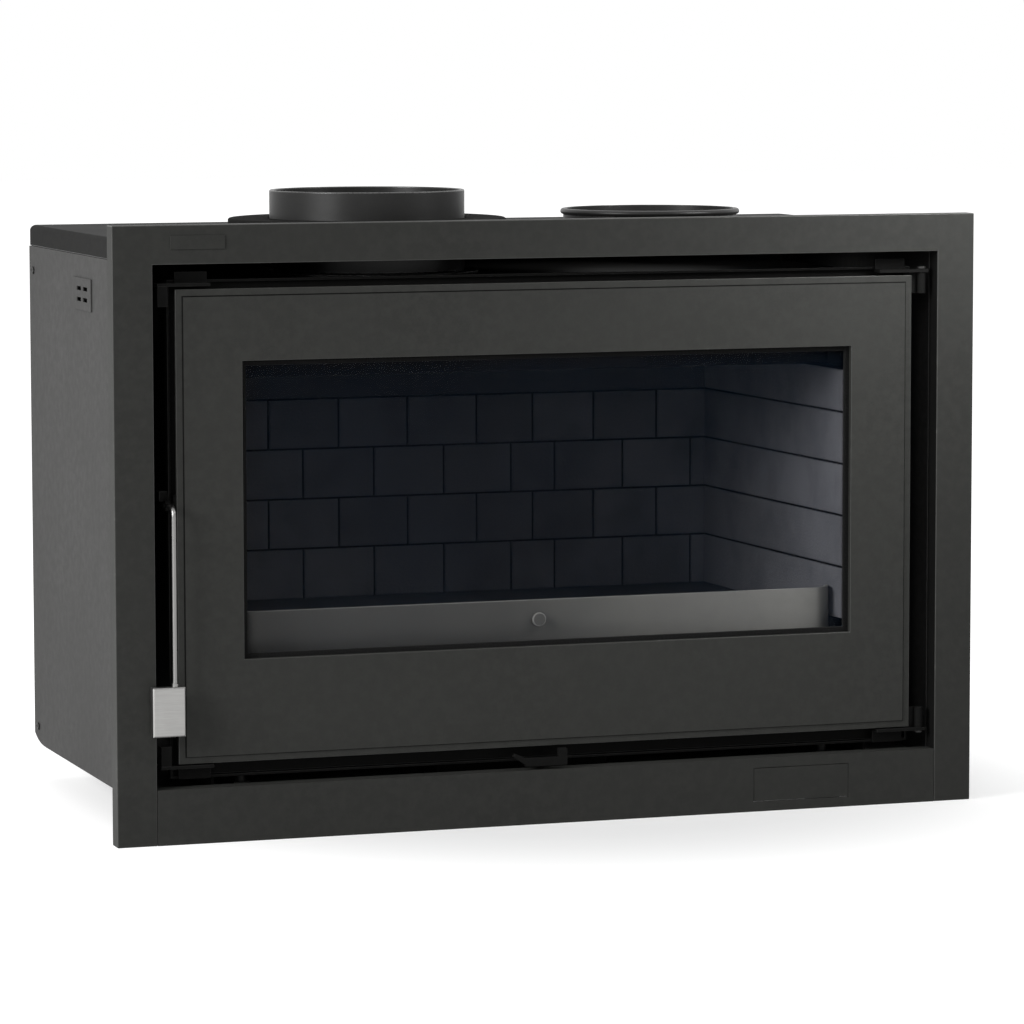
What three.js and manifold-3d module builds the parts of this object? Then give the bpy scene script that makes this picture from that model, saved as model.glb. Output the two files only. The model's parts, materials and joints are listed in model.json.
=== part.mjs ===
// Built-in fireplace insert: a steel firebox with brick-pattern lining inside a convection casing,
// a wide front surround, and a glazed door on two pins at its right-hand side.
// Millimetres, +Z up. The front faces -Y and +X is to the viewer's right.
import * as THREE from "three";
import { mergeVertices } from "three/addons/utils/BufferGeometryUtils.js";
import Module from "manifold-3d";

// ---------------------------------------------------------------- driving dimensions
const touch = 0.3; // gap left between pieces that seat on each other
const cutOver = 1; // how far a cutter runs past a face, or a joined piece into its neighbour

// Surround: a folded steel channel round the door, its bottom bar between the legs
const surroundWidth = 900;
const surroundHeight = 602;
const legWidth = 40;
const topBarHeight = 38;
const bottomBarHeight = 54.5;
const surroundDepth = 20;
const surroundSheet = 3;

// Flush cover plate in the bottom bar, and the bare name plate at the top left
const coverPlateWidth = 102.5;
const coverPlateHeight = 33.5;
const coverPlateRight = 135.5; // from the surround's right edge
const coverPlateBase = 10.5;
const coverPlateSheet = 2;
const coverPlateGap = 0.5;
const badgeWidth = 54.5;
const badgeHeight = 13.5;
const badgeLeft = 57.5;
const badgeDrop = 10; // below the surround's top edge
const badgeSheet = 0.8;

// Door: a front plate with a stepped rim, and a frame behind it that holds the glass and the rope
const doorSideGap = 25; // from the left leg
const doorRightGap = 23.5; // to the right leg
const doorBottomGap = 22.5; // above the bottom bar
const doorTopGap = 24.5; // below the top bar
const doorSetback = 10; // behind the surround's face
const doorPlate = 6;
const doorRim = 7;
const doorRimStep = 1.5;
const windowSideMargin = 66.5;
const windowBottomMargin = 100.7;
const windowTopMargin = 70.4;
const backFrameDepth = 8;
const glassThickness = 4;
const glassLap = 16; // behind the plate, on each side of the window
const glassPlay = 1;
const gasketReveal = 5; // seen inside the window
const gasketThickness = 3.4;
const retainerHeight = 24;
const retainerSheet = 3;
const retainerLap = 9; // over the glass
const retainerInset = 25; // from the back frame's ends
const ropeDiameter = 7;
const ropeInset = 14; // from the back frame's edge to the rope's outer side

// Door seat: the firebox's front plate, with a rim round the door
const seatSideLap = 20; // from the surround's inner edge to the rim, left and right
const seatTopGap = 16;
const seatBottomGap = 6.5;
const seatRimSheet = 2.5;
const seatRimDepth = 7;
const seatPlate = 3;
const ropeClearance = 0.4;
const mouthSideMargin = 1.5; // the mouth is larger than the door's window by these margins
const mouthBottomMargin = 5.7;
const mouthTopMargin = 8.9;

// Hinges: brackets on the seat, mirrored at the left for a door hung the other way round
const hingeFromSeat = 8; // pin axis to the seat's outer side
const hingeSetback = 14; // pin axis behind the surround's face
const barrelRadius = 4.5;
const barrelHeight = 20.5;
const barrelDrop = 1; // below the upper bracket
const hingePinRadius = 2.5;
const pinHeadRadius = 4.5;
const pinHeadHeight = 2.2;
const hingeArmSheet = 3;
const bracketSheet = 3;
const bracketDoorGap = 3; // above the door
const bracketFootGap = 1; // below the door
const bracketTabReach = 39.5; // from the seat's side to the tab's far end
const bracketTabStart = 7.2; // from the seat's side to the tab's near end
const bracketTabHeight = 10.5;
const bracketFrontReach = 5.5; // in front of the pin axis
const bracketEndReach = 5.5; // past the pin axis
const spareLugWidth = 10;
const spareLugHeight = 19.5;

// Handle: a bent rod that hangs from a pin at the door's left edge, with a flat steel pad
const rodRadius = 2.4;
const rodFront = -6.5; // rod centre, in front of the surround's face
const rodOutside = 8; // rod centre, left of the door's edge
const rodBendRadius = 9;
const pivotHeight = 253; // above the door's bottom edge
const pivotSetback = 19; // behind the surround's face
const pivotPinRadius = 2.5;
const eyeRadius = 5.4;
const eyeWidth = 5.2;
const padWidth = 32.5;
const padHeight = 48;
const padThickness = 10.5;
const padBase = 31.2; // above the door's bottom edge
const padChamfer = 1.2;
const padLap = 1; // past the door's left edge
const padBite = 9; // rod inside the pad
const padForward = 1; // the pad's middle, in front of the rod's
const rodBeadRadius = 3.4;
const rodBeadHeight = 3;
const fingerReach = 15;
const fingerHeight = 5;
const catchLift = 1; // above the latch finger
const catchHeight = 10;
const catchDepth = 14;
const catchWidth = 9;
const pivotBlockHeight = 20;
const pivotBlockReach = 2; // past the door's left edge
const pivotPinEnd = 1; // past the eye

// Casing: folded sheet round the firebox
const casingInset = 25; // from the surround's outer edge
const casingRear = 455; // behind the surround's face
const casingBase = 40;
const casingTopDrop = 16; // below the surround's top edge
const casingSheet = 2;
const panelFlange = 15;
const rearFlange = 27.7;
const skirtHeight = 21.7;
const skirtInset = 0.8;
const coverEdgeRadius = 6;
const sweepLength = 50; // swept-up lower rear corner
const sweepRise = 10;
const hatchFront = 182;
const hatchDrop = 77; // from the casing's top to the plate's base
const hatchWidth = 72;
const hatchHeight = 32.5;
const hatchSheet = 1.5;
const hatchLap = 8; // over the panel, round the opening behind it
const hatchSlotWidth = 18;
const hatchSlotHeight = 4;
const hatchSlotPitchX = 26;
const hatchSlotPitchZ = 11;
const screwHeadRadius = 4;
const screwHeadHeight = 1.6;
const screwShankRadius = 1.8;
const screwShankLength = 8;
const screwFromRear = 19;
const screwTopDrop = 47;
const screwBottomRise = 18.6;

// Feet: threaded stems with a wide pad, each locked by a nut on the base
const footInset = 140; // from the surround's left and right edges
const footFront = 60;
const footFromRear = 75;
const footPadRadius = 18;
const footPadHeight = 6;
const footStemRadius = 5;
const footStemTop = 60;
const footBore = 0.3; // radial clearance of the stem
const nutRadius = 9.8; // across corners, halved
const nutHeight = 8;

// Flue and hot air outlets
const outletDepth = 162; // centres, behind the surround's face
const flueShift = 145.1; // left of the surround's middle
const flueRadius = 98.3;
const flueWall = 4;
const flueRise = 42.3; // above the casing
const rimChamfer = 1;
const flueFlange = 14;
const flueFlangeSheet = 4;
const pedestalRadius = 140;
const pedestalHeight = 14;
const pedestalEdge = 2;
const airShift = 158.9; // right of the surround's middle
const airRadius = 89;
const airWall = 3;
const airRise = 19.7;
const airRimRadius = 3;
const airFlange = 12;
const airFlangeSheet = 2;
const outletPlay = 0.6;

// Firebox and lining
const shellSheet = 3;
const shellDrop = 42.3; // below the casing's top
const liningThickness = 25;
const liningTaper = 13; // each side wall leans in by this much towards the rear
const liningFromRear = 65; // rear wall's face to the casing's rear
const liningTopDrop = 26.1; // below the window's top
const hearthRise = 10.3; // above the window's bottom
const hearthThickness = 30;
const hearthFront = 76;
const courseHeight = 53;
const mortarWidth = 3;
const mortarDepth = 2.5;
// brick joints of the rear wall, from its left visible corner
const jointSpan = 612.5; // wall width that the joints below are listed for
const oddCourseJoints = [121, 198.5, 275, 352.5, 416, 485.5, 558];
const evenCourseJoints = [159, 237.5, 315.5, 391.5, 441, 519, 597.5];
const baffleFront = 130;
const baffleThickness = 20;
const retainerPlate = 4;
const logLipRise = 32; // above the hearth
const logLipSetback = 10; // behind the seat plate
const logLipBend = 22;
const logLipGap = 0.8; // to the side walls
const knobShift = 5.25; // left of the window's middle
const knobRise = 12.5; // above the hearth
const knobRadius = 7.2;
const knobReach = 7;
const knobNeckRadius = 3.6;
const knobNeckLength = 3;

// Air control: a lever under the door that slides a ported plate over a ported box
const leverShift = 16.25; // left of the window's middle
const leverWidth = 44;
const leverHeight = 8.5;
const leverThickness = 6;
const leverFront = 2; // behind the surround's face
const leverLift = 3.5; // above the bottom bar
const gripShift = 6; // the grip's middle, right of the stem
const leverTipReach = 13;
const leverTipRise = 5;
const leverTipEnd = 3; // height of the tip's blunt end
const leverTipSlant = 2;
const leverTabWidth = 9;
const leverTabRise = 8.5;
const stemWidth = 14;
const stemSheet = 3;
const stemLift = 2; // above the bottom bar
const stemRiser = 50;
const stemFoot = 20; // on the slide plate
const airBoxWidth = 180;
const airBoxFront = 60;
const airBoxDepth = 80;
const airBoxTop = 61.7;
const airBoxSheet = 2;
const inletLap = 6; // the base's inlet is smaller than the air box all round
const slideWidth = 130;
const slideDepth = 60;
const slideSheet = 2.5;
const portWidth = 16;
const portDepth = 40;
const portPitch = 40;
const portCount = 3;

// ---------------------------------------------------------------- derived places
const innerLeft = legWidth;
const innerRight = surroundWidth - legWidth;
const innerBottom = bottomBarHeight;
const innerTop = surroundHeight - topBarHeight;

const door = {
  left: innerLeft + doorSideGap,
  right: innerRight - doorRightGap,
  bottom: innerBottom + doorBottomGap,
  top: innerTop - doorTopGap,
  front: doorSetback,
  plateBack: doorSetback + doorPlate,
};
const doorWindow = {
  left: door.left + windowSideMargin,
  right: door.right - windowSideMargin,
  bottom: door.bottom + windowBottomMargin,
  top: door.top - windowTopMargin,
};
const windowMiddle = (doorWindow.left + doorWindow.right) / 2;
const backFrame = {
  left: door.left + doorRim,
  right: door.right - doorRim,
  bottom: door.bottom + doorRim,
  top: door.top - doorRim,
  front: door.plateBack + touch,
  back: door.plateBack + touch + backFrameDepth,
};
const glass = {
  left: doorWindow.left - glassLap,
  right: doorWindow.right + glassLap,
  bottom: doorWindow.bottom - glassLap,
  top: doorWindow.top + glassLap,
  front: door.plateBack + 2 * touch + gasketThickness,
  back: door.plateBack + 2 * touch + gasketThickness + glassThickness,
};
const ropeFront = backFrame.back + touch;
const seatFace = ropeFront + ropeDiameter + ropeClearance;
const seat = {
  left: innerLeft + seatSideLap,
  right: innerRight - seatSideLap,
  bottom: innerBottom + seatBottomGap,
  top: innerTop - seatTopGap,
  rimFront: seatFace - seatRimDepth,
  face: seatFace,
  back: seatFace + seatPlate,
};
const mouth = {
  left: doorWindow.left - mouthSideMargin,
  right: doorWindow.right + mouthSideMargin,
  bottom: doorWindow.bottom - mouthBottomMargin,
  top: doorWindow.top + mouthTopMargin,
};
const hearthTop = doorWindow.bottom + hearthRise;
const liningTop = doorWindow.top - liningTopDrop;
const liningFront = seat.back + touch;
const liningRearFace = casingRear - liningFromRear;
const courses = Math.floor((liningTop - hearthTop) / courseHeight);
const logLipTop = hearthTop + logLipRise;
const lining = {
  outerLeft: doorWindow.left - liningThickness,
  outerRight: doorWindow.right + liningThickness,
  rearBack: liningRearFace + liningThickness,
  bottom: hearthTop + touch,
};
const shell = {
  left: lining.outerLeft - touch - shellSheet,
  right: lining.outerRight + touch + shellSheet,
  front: seat.back + touch,
  rear: lining.rearBack + touch + shellSheet,
  floor: hearthTop - hearthThickness - touch,
  foot: casingBase + casingSheet + touch,
};
const casingTop = surroundHeight - casingTopDrop;
const shellTop = casingTop - shellDrop;
const casing = {
  left: casingInset,
  right: surroundWidth - casingInset,
  front: surroundDepth + touch,
  skirtBase: casingTop - skirtHeight,
  baseTop: casingBase + casingSheet,
  seam: casingRear - rearFlange,
};
const hinge = { right: seat.right + hingeFromSeat, left: seat.left - hingeFromSeat, y: hingeSetback };
const upperBracketBase = door.top + bracketDoorGap;
const lowerBracketTop = door.bottom - bracketFootGap;
const upperBarrelTop = upperBracketBase - barrelDrop;
const lowerBarrelBase = lowerBracketTop + touch;
const rod = {
  x: door.left - rodOutside,
  pivotY: pivotSetback,
  pivotZ: door.bottom + pivotHeight,
};
const pad = {
  right: door.left + padLap,
  bottom: door.bottom + padBase,
  back: rodFront + padThickness / 2 - padForward,
};
const outlets = {
  flue: [surroundWidth / 2 - flueShift, outletDepth],
  air: [surroundWidth / 2 + airShift, outletDepth],
};
const flueTop = casingTop + flueRise;
const airTop = casingTop + airRise;
const leverX = windowMiddle - leverShift;
const coverTopBottom = casingTop - casingSheet;
const frontmost = pad.back - padThickness;

// ---------------------------------------------------------------- solids
const wasm = await Module();
wasm.setup();

// A closed geometry as a solid that can be joined and cut.
function solid(geometry) {
  const bare = geometry.index ? geometry.toNonIndexed() : geometry.clone();
  bare.deleteAttribute("normal");
  bare.deleteAttribute("uv");
  const merged = mergeVertices(bare, 1e-4);
  const mesh = new wasm.Mesh({
    numProp: 3,
    vertProperties: merged.attributes.position.array,
    triVerts: new Uint32Array(merged.index.array),
  });
  return new wasm.Manifold(mesh);
}

function box([x0, x1], [y0, y1], [z0, z1]) {
  const made = new THREE.BoxGeometry(x1 - x0, y1 - y0, z1 - z0);
  made.translate((x0 + x1) / 2, (y0 + y1) / 2, (z0 + z1) / 2);
  return solid(made);
}

// The direction of an outline's first axis, its second axis and its depth.
const bases = {
  x: [new THREE.Vector3(0, 1, 0), new THREE.Vector3(0, 0, 1), new THREE.Vector3(1, 0, 0)],
  y: [new THREE.Vector3(0, 0, 1), new THREE.Vector3(1, 0, 0), new THREE.Vector3(0, 1, 0)],
  z: [new THREE.Vector3(1, 0, 0), new THREE.Vector3(0, 1, 0), new THREE.Vector3(0, 0, 1)],
};

// An outline drawn out along an axis. Outlines are (y, z) for x, (z, x) for y and (x, y) for z.
function prism(axis, outline, from, to) {
  const shape = outline instanceof THREE.Shape
    ? outline
    : new THREE.Shape(outline.map(([u, v]) => new THREE.Vector2(u, v)));
  const drawn = new THREE.ExtrudeGeometry(shape, {
    depth: to - from,
    bevelEnabled: false,
    curveSegments: 6,
  });
  drawn.translate(0, 0, from);
  drawn.applyMatrix4(new THREE.Matrix4().makeBasis(...bases[axis]));
  return solid(drawn);
}

// A round bar along an axis; place holds the other two coordinates in the outline's order.
function bar(axis, place, radius, from, to, sides = 24) {
  const round = new THREE.CylinderGeometry(radius, radius, to - from, sides);
  round.rotateX(Math.PI / 2);
  round.translate(place[0], place[1], (from + to) / 2);
  round.applyMatrix4(new THREE.Matrix4().makeBasis(...bases[axis]));
  return solid(round);
}

// A closed profile of (radius, z) turned about a vertical line at (x, y).
function turned(profile, [x, y], sides = 48) {
  const points = [...profile, profile[0]].map(([r, z]) => new THREE.Vector2(r, z));
  const lathe = new THREE.LatheGeometry(points, sides);
  lathe.rotateX(Math.PI / 2);
  lathe.translate(x, y, 0);
  return solid(lathe);
}

const join = (...pieces) => pieces.reduce((all, piece) => all.add(piece));
const cut = (body, ...tools) => tools.reduce((left, tool) => left.subtract(tool), body);

// A rectangular ring: an outer and an inner rectangle in X and Z, between two depths.
function frameRing(outer, inner, from, to) {
  const around = box([outer.left, outer.right], [from, to], [outer.bottom, outer.top]);
  const through = [from - cutOver, to + cutOver];
  return cut(around, box([inner.left, inner.right], through, [inner.bottom, inner.top]));
}

const grown = (area, by) => ({
  left: area.left - by,
  right: area.right + by,
  bottom: area.bottom - by,
  top: area.top + by,
});

// ---------------------------------------------------------------- materials
const paint = (color, roughness = 0.6, metalness = 0.3) =>
  new THREE.MeshStandardMaterial({ color, roughness, metalness });
const materials = {
  frontPaint: paint(0x4a4a46),
  casingPaint: paint(0x5c5c59),
  coverPaint: paint(0x3a3a39, 0.65),
  darkSteel: paint(0x1c1c1c, 0.7),
  castIron: paint(0x2a2a29, 0.75, 0.4),
  refractory: paint(0x2c2f37, 0.95, 0),
  lipSteel: paint(0x555552, 0.55, 0.4),
  stainless: paint(0xb8b8b4, 0.35, 1),
  zinc: paint(0x9a9a98, 0.4, 0.9),
  glassTint: new THREE.MeshStandardMaterial({
    color: 0x20242c,
    roughness: 0.05,
    metalness: 0,
    transparent: true,
    opacity: 0.35,
  }),
  rope: paint(0x2a2a28, 0.95, 0),
};

const insert = new THREE.Group();

function place(name, body, material) {
  const { vertProperties, triVerts, numProp } = body.getMesh();
  const positions = new Float32Array((vertProperties.length / numProp) * 3);
  for (let i = 0; i < positions.length / 3; i++)
    positions.set(vertProperties.subarray(i * numProp, i * numProp + 3), i * 3);
  const geometry = new THREE.BufferGeometry();
  geometry.setAttribute("position", new THREE.BufferAttribute(positions, 3));
  geometry.setIndex(new THREE.BufferAttribute(triVerts, 1));
  geometry.computeVertexNormals();
  const mesh = new THREE.Mesh(geometry, material);
  mesh.name = name;
  insert.add(mesh);
}

// ---------------------------------------------------------------- surround
function surroundFrame() {
  const outer = [0, 0, surroundWidth, surroundHeight];
  const inner = [innerLeft, 0, innerRight, innerTop];
  const arch = (o, i, foot) => [
    [foot, o[0]], [o[3], o[0]], [o[3], o[2]], [foot, o[2]],
    [foot, i[2]], [i[3], i[2]], [i[3], i[0]], [foot, i[0]],
  ];
  const wall = surroundSheet;
  const pocketOuter = [wall, 0, surroundWidth - wall, surroundHeight - wall];
  const pocketInner = [innerLeft - wall, 0, innerRight + wall, innerTop + wall];
  const body = prism("y", arch(outer, inner, 0), 0, surroundDepth);
  const pocket = prism("y", arch(pocketOuter, pocketInner, wall), wall, surroundDepth + cutOver);
  return cut(body, pocket);
}

const coverPlate = {
  left: surroundWidth - coverPlateRight - coverPlateWidth,
  right: surroundWidth - coverPlateRight,
  bottom: coverPlateBase,
  top: coverPlateBase + coverPlateHeight,
};

function surroundBottomBar() {
  const ends = [innerLeft + touch, innerRight - touch];
  const wall = surroundSheet;
  const body = box(ends, [0, surroundDepth], [0, bottomBarHeight]);
  const pocket = box(
    [ends[0] + wall, ends[1] - wall],
    [wall, surroundDepth + cutOver],
    [wall, bottomBarHeight - wall],
  );
  const hole = grown(coverPlate, coverPlateGap);
  const opening = box([hole.left, hole.right], [-cutOver, wall + cutOver], [hole.bottom, hole.top]);
  return cut(body, pocket, opening);
}

function bottomBarCoverPlate() {
  return box([coverPlate.left, coverPlate.right], [0, coverPlateSheet], [coverPlate.bottom, coverPlate.top]);
}

function badgePlate() {
  const top = surroundHeight - badgeDrop;
  return box(
    [badgeLeft, badgeLeft + badgeWidth],
    [-touch - badgeSheet, -touch],
    [top - badgeHeight, top],
  );
}

place("surround_frame", surroundFrame(), materials.frontPaint);
place("surround_bottom_bar", surroundBottomBar(), materials.frontPaint);
place("bottom_bar_cover_plate", bottomBarCoverPlate(), materials.frontPaint);
place("badge_plate", badgePlate(), materials.frontPaint);

// ---------------------------------------------------------------- door
function doorFrontPlate() {
  const rimDepth = [door.front + doorRimStep, door.plateBack];
  const rim = box([door.left, door.right], rimDepth, [door.bottom, door.top]);
  const raised = grown(door, -doorRim);
  const face = box([raised.left, raised.right], [door.front, door.plateBack], [raised.bottom, raised.top]);
  const opening = box(
    [doorWindow.left, doorWindow.right],
    [door.front - cutOver, door.plateBack + cutOver],
    [doorWindow.bottom, doorWindow.top],
  );
  return cut(join(rim, face), opening);
}

function ropeSeal() {
  const outer = grown(backFrame, -ropeInset);
  const radius = ropeDiameter / 2;
  const centre = grown(outer, -radius);
  const y = ropeFront + radius;
  const sides = 10;
  const run = (axis, at, from, to) => bar(axis, at, radius, from, to, sides);
  // each run ends half a rope short of the corner's outer side, where a ball rounds the turn
  const across = [centre.left, centre.right];
  const upright = [centre.bottom, centre.top];
  const balls = across.flatMap((x) =>
    upright.map((z) => {
      const ball = new THREE.SphereGeometry(radius, sides, sides / 2 + 1);
      ball.translate(x, y, z);
      return solid(ball);
    }),
  );
  return join(
    run("x", [y, centre.bottom], ...across),
    run("x", [y, centre.top], ...across),
    run("z", [centre.left, y], ...upright),
    run("z", [centre.right, y], ...upright),
    ...balls,
  );
}

function glassRetainer(low) {
  const x = [backFrame.left + retainerInset, backFrame.right - retainerInset];
  const y = [backFrame.back + touch, backFrame.back + touch + retainerSheet];
  return box(x, y, [low, low + retainerHeight]);
}

const gasketOuter = glass;
const gasketInner = grown(doorWindow, -gasketReveal);
const gasketFront = door.plateBack + touch;

place("door_front_plate", doorFrontPlate(), materials.frontPaint);
place(
  "door_back_frame",
  frameRing(backFrame, grown(glass, glassPlay), backFrame.front, backFrame.back),
  materials.darkSteel,
);
place(
  "door_glass",
  box([glass.left, glass.right], [glass.front, glass.back], [glass.bottom, glass.top]),
  materials.glassTint,
);
place(
  "glass_gasket",
  frameRing(gasketOuter, gasketInner, gasketFront, gasketFront + gasketThickness),
  materials.rope,
);
const lowerRetainerBase = glass.bottom + retainerLap - retainerHeight;
place("glass_retainer_top", glassRetainer(glass.top - retainerLap), materials.darkSteel);
place("glass_retainer_bottom", glassRetainer(lowerRetainerBase), materials.darkSteel);
place("door_rope_seal", ropeSeal(), materials.rope);

// ---------------------------------------------------------------- hinges
// A barrel on the pin's line, with an arm that runs behind the front plate to the back frame.
function hingeArm(low) {
  const z = [low, low + barrelHeight];
  const at = [hinge.right, hinge.y];
  const armY = [backFrame.front, backFrame.front + hingeArmSheet];
  const arm = box([backFrame.right + touch, hinge.right], armY, z);
  const round = bar("z", at, barrelRadius, ...z);
  const bore = bar("z", at, hingePinRadius + touch, low - cutOver, low + barrelHeight + cutOver);
  return cut(join(arm, round), bore);
}

// A bracket in front of the seat's rim. side is 1 at the right and -1 at the left;
// up is 1 where its tab stands up and -1 where it hangs down. A hung bracket has the pin's hole.
function hingeBracket(side, up, hung) {
  const seatSide = side > 0 ? seat.right : seat.left;
  const axisX = side > 0 ? hinge.right : hinge.left;
  const sorted = (a, b) => [Math.min(a, b), Math.max(a, b)];
  const tabBack = seat.rimFront - touch;
  const base = up > 0 ? upperBracketBase : lowerBracketTop - bracketSheet;
  const shelfX = sorted(axisX + side * bracketEndReach, seatSide - side * bracketTabReach);
  const shelf = box(shelfX, [hinge.y - bracketFrontReach, tabBack], [base, base + bracketSheet]);
  const tabX = sorted(seatSide - side * bracketTabStart, seatSide - side * bracketTabReach);
  const tabZ = up > 0
    ? [base + bracketSheet - cutOver, base + bracketSheet + bracketTabHeight]
    : [seat.bottom, base + cutOver];
  const tab = box(tabX, [tabBack - bracketSheet, tabBack], tabZ);
  const body = join(shelf, tab);
  const through = [base - cutOver, base + bracketSheet + cutOver];
  if (hung) return cut(body, bar("z", [axisX, hinge.y], hingePinRadius + touch, ...through));
  const lugX = sorted(axisX - side * spareLugWidth / 2, axisX + side * spareLugWidth / 2);
  const lugZ = up > 0
    ? [base - spareLugHeight, base + cutOver]
    : [base + bracketSheet - cutOver, base + bracketSheet + spareLugHeight];
  const lug = box(lugX, [hinge.y - barrelRadius, hinge.y + barrelRadius], lugZ);
  return join(body, lug);
}

function hingePin(shankFrom, shankTo, headFrom) {
  const at = [hinge.right, hinge.y];
  const shank = bar("z", at, hingePinRadius, shankFrom, shankTo);
  return join(shank, bar("z", at, pinHeadRadius, headFrom, headFrom + pinHeadHeight));
}

const upperHead = upperBracketBase + bracketSheet + touch;
const lowerHead = lowerBracketTop - bracketSheet - touch - pinHeadHeight;
place("door_hinge_arm_top", hingeArm(upperBarrelTop - barrelHeight), materials.darkSteel);
place("door_hinge_arm_bottom", hingeArm(lowerBarrelBase), materials.darkSteel);
place("hinge_bracket_top", hingeBracket(1, 1, true), materials.darkSteel);
place("hinge_bracket_bottom", hingeBracket(1, -1, true), materials.darkSteel);
place("spare_bracket_top", hingeBracket(-1, 1, false), materials.darkSteel);
place("spare_bracket_bottom", hingeBracket(-1, -1, false), materials.darkSteel);
place(
  "hinge_pin_top",
  hingePin(upperBarrelTop - barrelHeight + touch, upperHead + cutOver, upperHead),
  materials.zinc,
);
place(
  "hinge_pin_bottom",
  hingePin(lowerHead + pinHeadHeight - cutOver, lowerBarrelBase + barrelHeight - touch, lowerHead),
  materials.zinc,
);

// ---------------------------------------------------------------- handle
function handleRod() {
  const { x, pivotY, pivotZ } = rod;
  const top = new THREE.Vector3(x, pivotY - eyeRadius + cutOver, pivotZ);
  const corner = new THREE.Vector3(x, rodFront, pivotZ);
  const bendStart = new THREE.Vector3(x, rodFront + rodBendRadius, pivotZ);
  const bendEnd = new THREE.Vector3(x, rodFront, pivotZ - rodBendRadius);
  const path = new THREE.CurvePath();
  path.add(new THREE.LineCurve3(top, bendStart));
  path.add(new THREE.QuadraticBezierCurve3(bendStart, corner, bendEnd));
  const sides = 12;
  const section = new THREE.Shape(
    Array.from({ length: sides }, (_, i) => {
      const turn = (2 * Math.PI * i) / sides;
      return new THREE.Vector2(rodRadius * Math.cos(turn), rodRadius * Math.sin(turn));
    }),
  );
  const bend = solid(new THREE.ExtrudeGeometry(section, { steps: 12, extrudePath: path }));
  const padTop = pad.bottom + padHeight;
  const upright = bar("z", [x, rodFront], rodRadius, padTop - padBite, bendEnd.z + cutOver, sides);
  const beadBase = padTop + touch;
  const bead = bar("z", [x, rodFront], rodBeadRadius, beadBase, beadBase + rodBeadHeight, sides);
  const eyeX = [x - eyeWidth / 2, x + eyeWidth / 2];
  const eye = bar("x", [pivotY, pivotZ], eyeRadius, ...eyeX);
  const fingerY = [pivotY + pivotPinRadius, pivotY + fingerReach];
  const finger = box(eyeX, fingerY, [pivotZ - fingerHeight / 2, pivotZ + fingerHeight / 2]);
  const bore = bar("x", [pivotY, pivotZ], pivotPinRadius + touch, eyeX[0] - cutOver, eyeX[1] + cutOver);
  return cut(join(upright, bend, bead, eye, finger), bore);
}

// A flat pad whose front edges are chamfered, bored from above for the rod.
function handlePad() {
  const y = [pad.back - padThickness, pad.back];
  const x = [pad.right - padWidth, pad.right];
  const z = [pad.bottom, pad.bottom + padHeight];
  const c = padChamfer;
  const sideOn = prism("z", [
    [x[0] + c, y[0]], [x[1] - c, y[0]], [x[1], y[0] + c], [x[1], y[1]], [x[0], y[1]], [x[0], y[0] + c],
  ], ...z);
  const endOn = prism("x", [
    [y[0], z[0] + c], [y[0] + c, z[0]], [y[1], z[0]], [y[1], z[1]], [y[0] + c, z[1]], [y[0], z[1] - c],
  ], ...x);
  const bore = bar("z", [rod.x, rodFront], rodRadius + touch, z[1] - padBite - touch, z[1] + cutOver, 12);
  return cut(sideOn.intersect(endOn), bore);
}

// The block behind the front plate that carries the handle's pin.
function handlePivotBracket() {
  const { pivotY, pivotZ } = rod;
  const blockX = [door.left - pivotBlockReach, backFrame.left - touch];
  const half = pivotBlockHeight / 2;
  const block = box(blockX, [backFrame.front, backFrame.back], [pivotZ - half, pivotZ + half]);
  const pinEnd = rod.x - eyeWidth / 2 - pivotPinEnd;
  return join(block, bar("x", [pivotY, pivotZ], pivotPinRadius, pinEnd, blockX[0] + cutOver));
}

function latchCatch() {
  const base = rod.pivotZ + fingerHeight / 2 + catchLift;
  const right = seat.left - touch;
  const y = [seat.rimFront, seat.rimFront + catchDepth];
  return box([right - catchWidth, right], y, [base, base + catchHeight]);
}

place("handle_rod", handleRod(), materials.stainless);
place("handle_pad", handlePad(), materials.stainless);
place("handle_pivot_bracket", handlePivotBracket(), materials.darkSteel);
place("latch_catch", latchCatch(), materials.darkSteel);

// ---------------------------------------------------------------- door seat and firebox
function fireboxFaceFrame() {
  const rimInner = grown(seat, -seatRimSheet);
  const rimRing = frameRing(seat, rimInner, seat.rimFront, seat.back);
  return join(rimRing, frameRing(seat, mouth, seat.face, seat.back));
}

// Side walls down to the casing's base, a floor under the hearth, a rear wall and a flue hole.
function fireboxShell() {
  const outer = box([shell.left, shell.right], [shell.front, shell.rear], [shell.foot, shellTop]);
  const insideX = [shell.left + shellSheet, shell.right - shellSheet];
  const insideY = [shell.front - cutOver, shell.rear - shellSheet];
  const upper = box(insideX, insideY, [shell.floor, shellTop - shellSheet]);
  const lower = box(insideX, insideY, [shell.foot - cutOver, shell.floor - shellSheet]);
  const roof = [shellTop - shellSheet - cutOver, shellTop + cutOver];
  const flueHole = bar("z", outlets.flue, flueRadius - flueWall, ...roof, 48);
  return cut(outer, upper, lower, flueHole);
}

// The height of the joint above the nth course.
const courseLine = (n) => hearthTop + n * courseHeight;

function rearLining() {
  const slab = box(
    [lining.outerLeft, lining.outerRight],
    [liningRearFace + touch, lining.rearBack],
    [lining.bottom, liningTop],
  );
  const face = liningRearFace + touch;
  const depth = [face - cutOver, face + mortarDepth];
  const half = mortarWidth / 2;
  const left = doorWindow.left + liningTaper;
  const right = doorWindow.right - liningTaper;
  const grooves = [];
  for (let n = 1; n <= courses; n++) {
    const line = courseLine(n);
    grooves.push(box([left - half, right + half], depth, [line - half, line + half]));
    const joints = n % 2 ? evenCourseJoints : oddCourseJoints;
    for (const joint of joints) {
      const x = left + joint * ((right - left) / jointSpan);
      grooves.push(box([x - half, x + half], depth, [line - courseHeight, line]));
    }
  }
  return cut(slab, join(...grooves));
}

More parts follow.
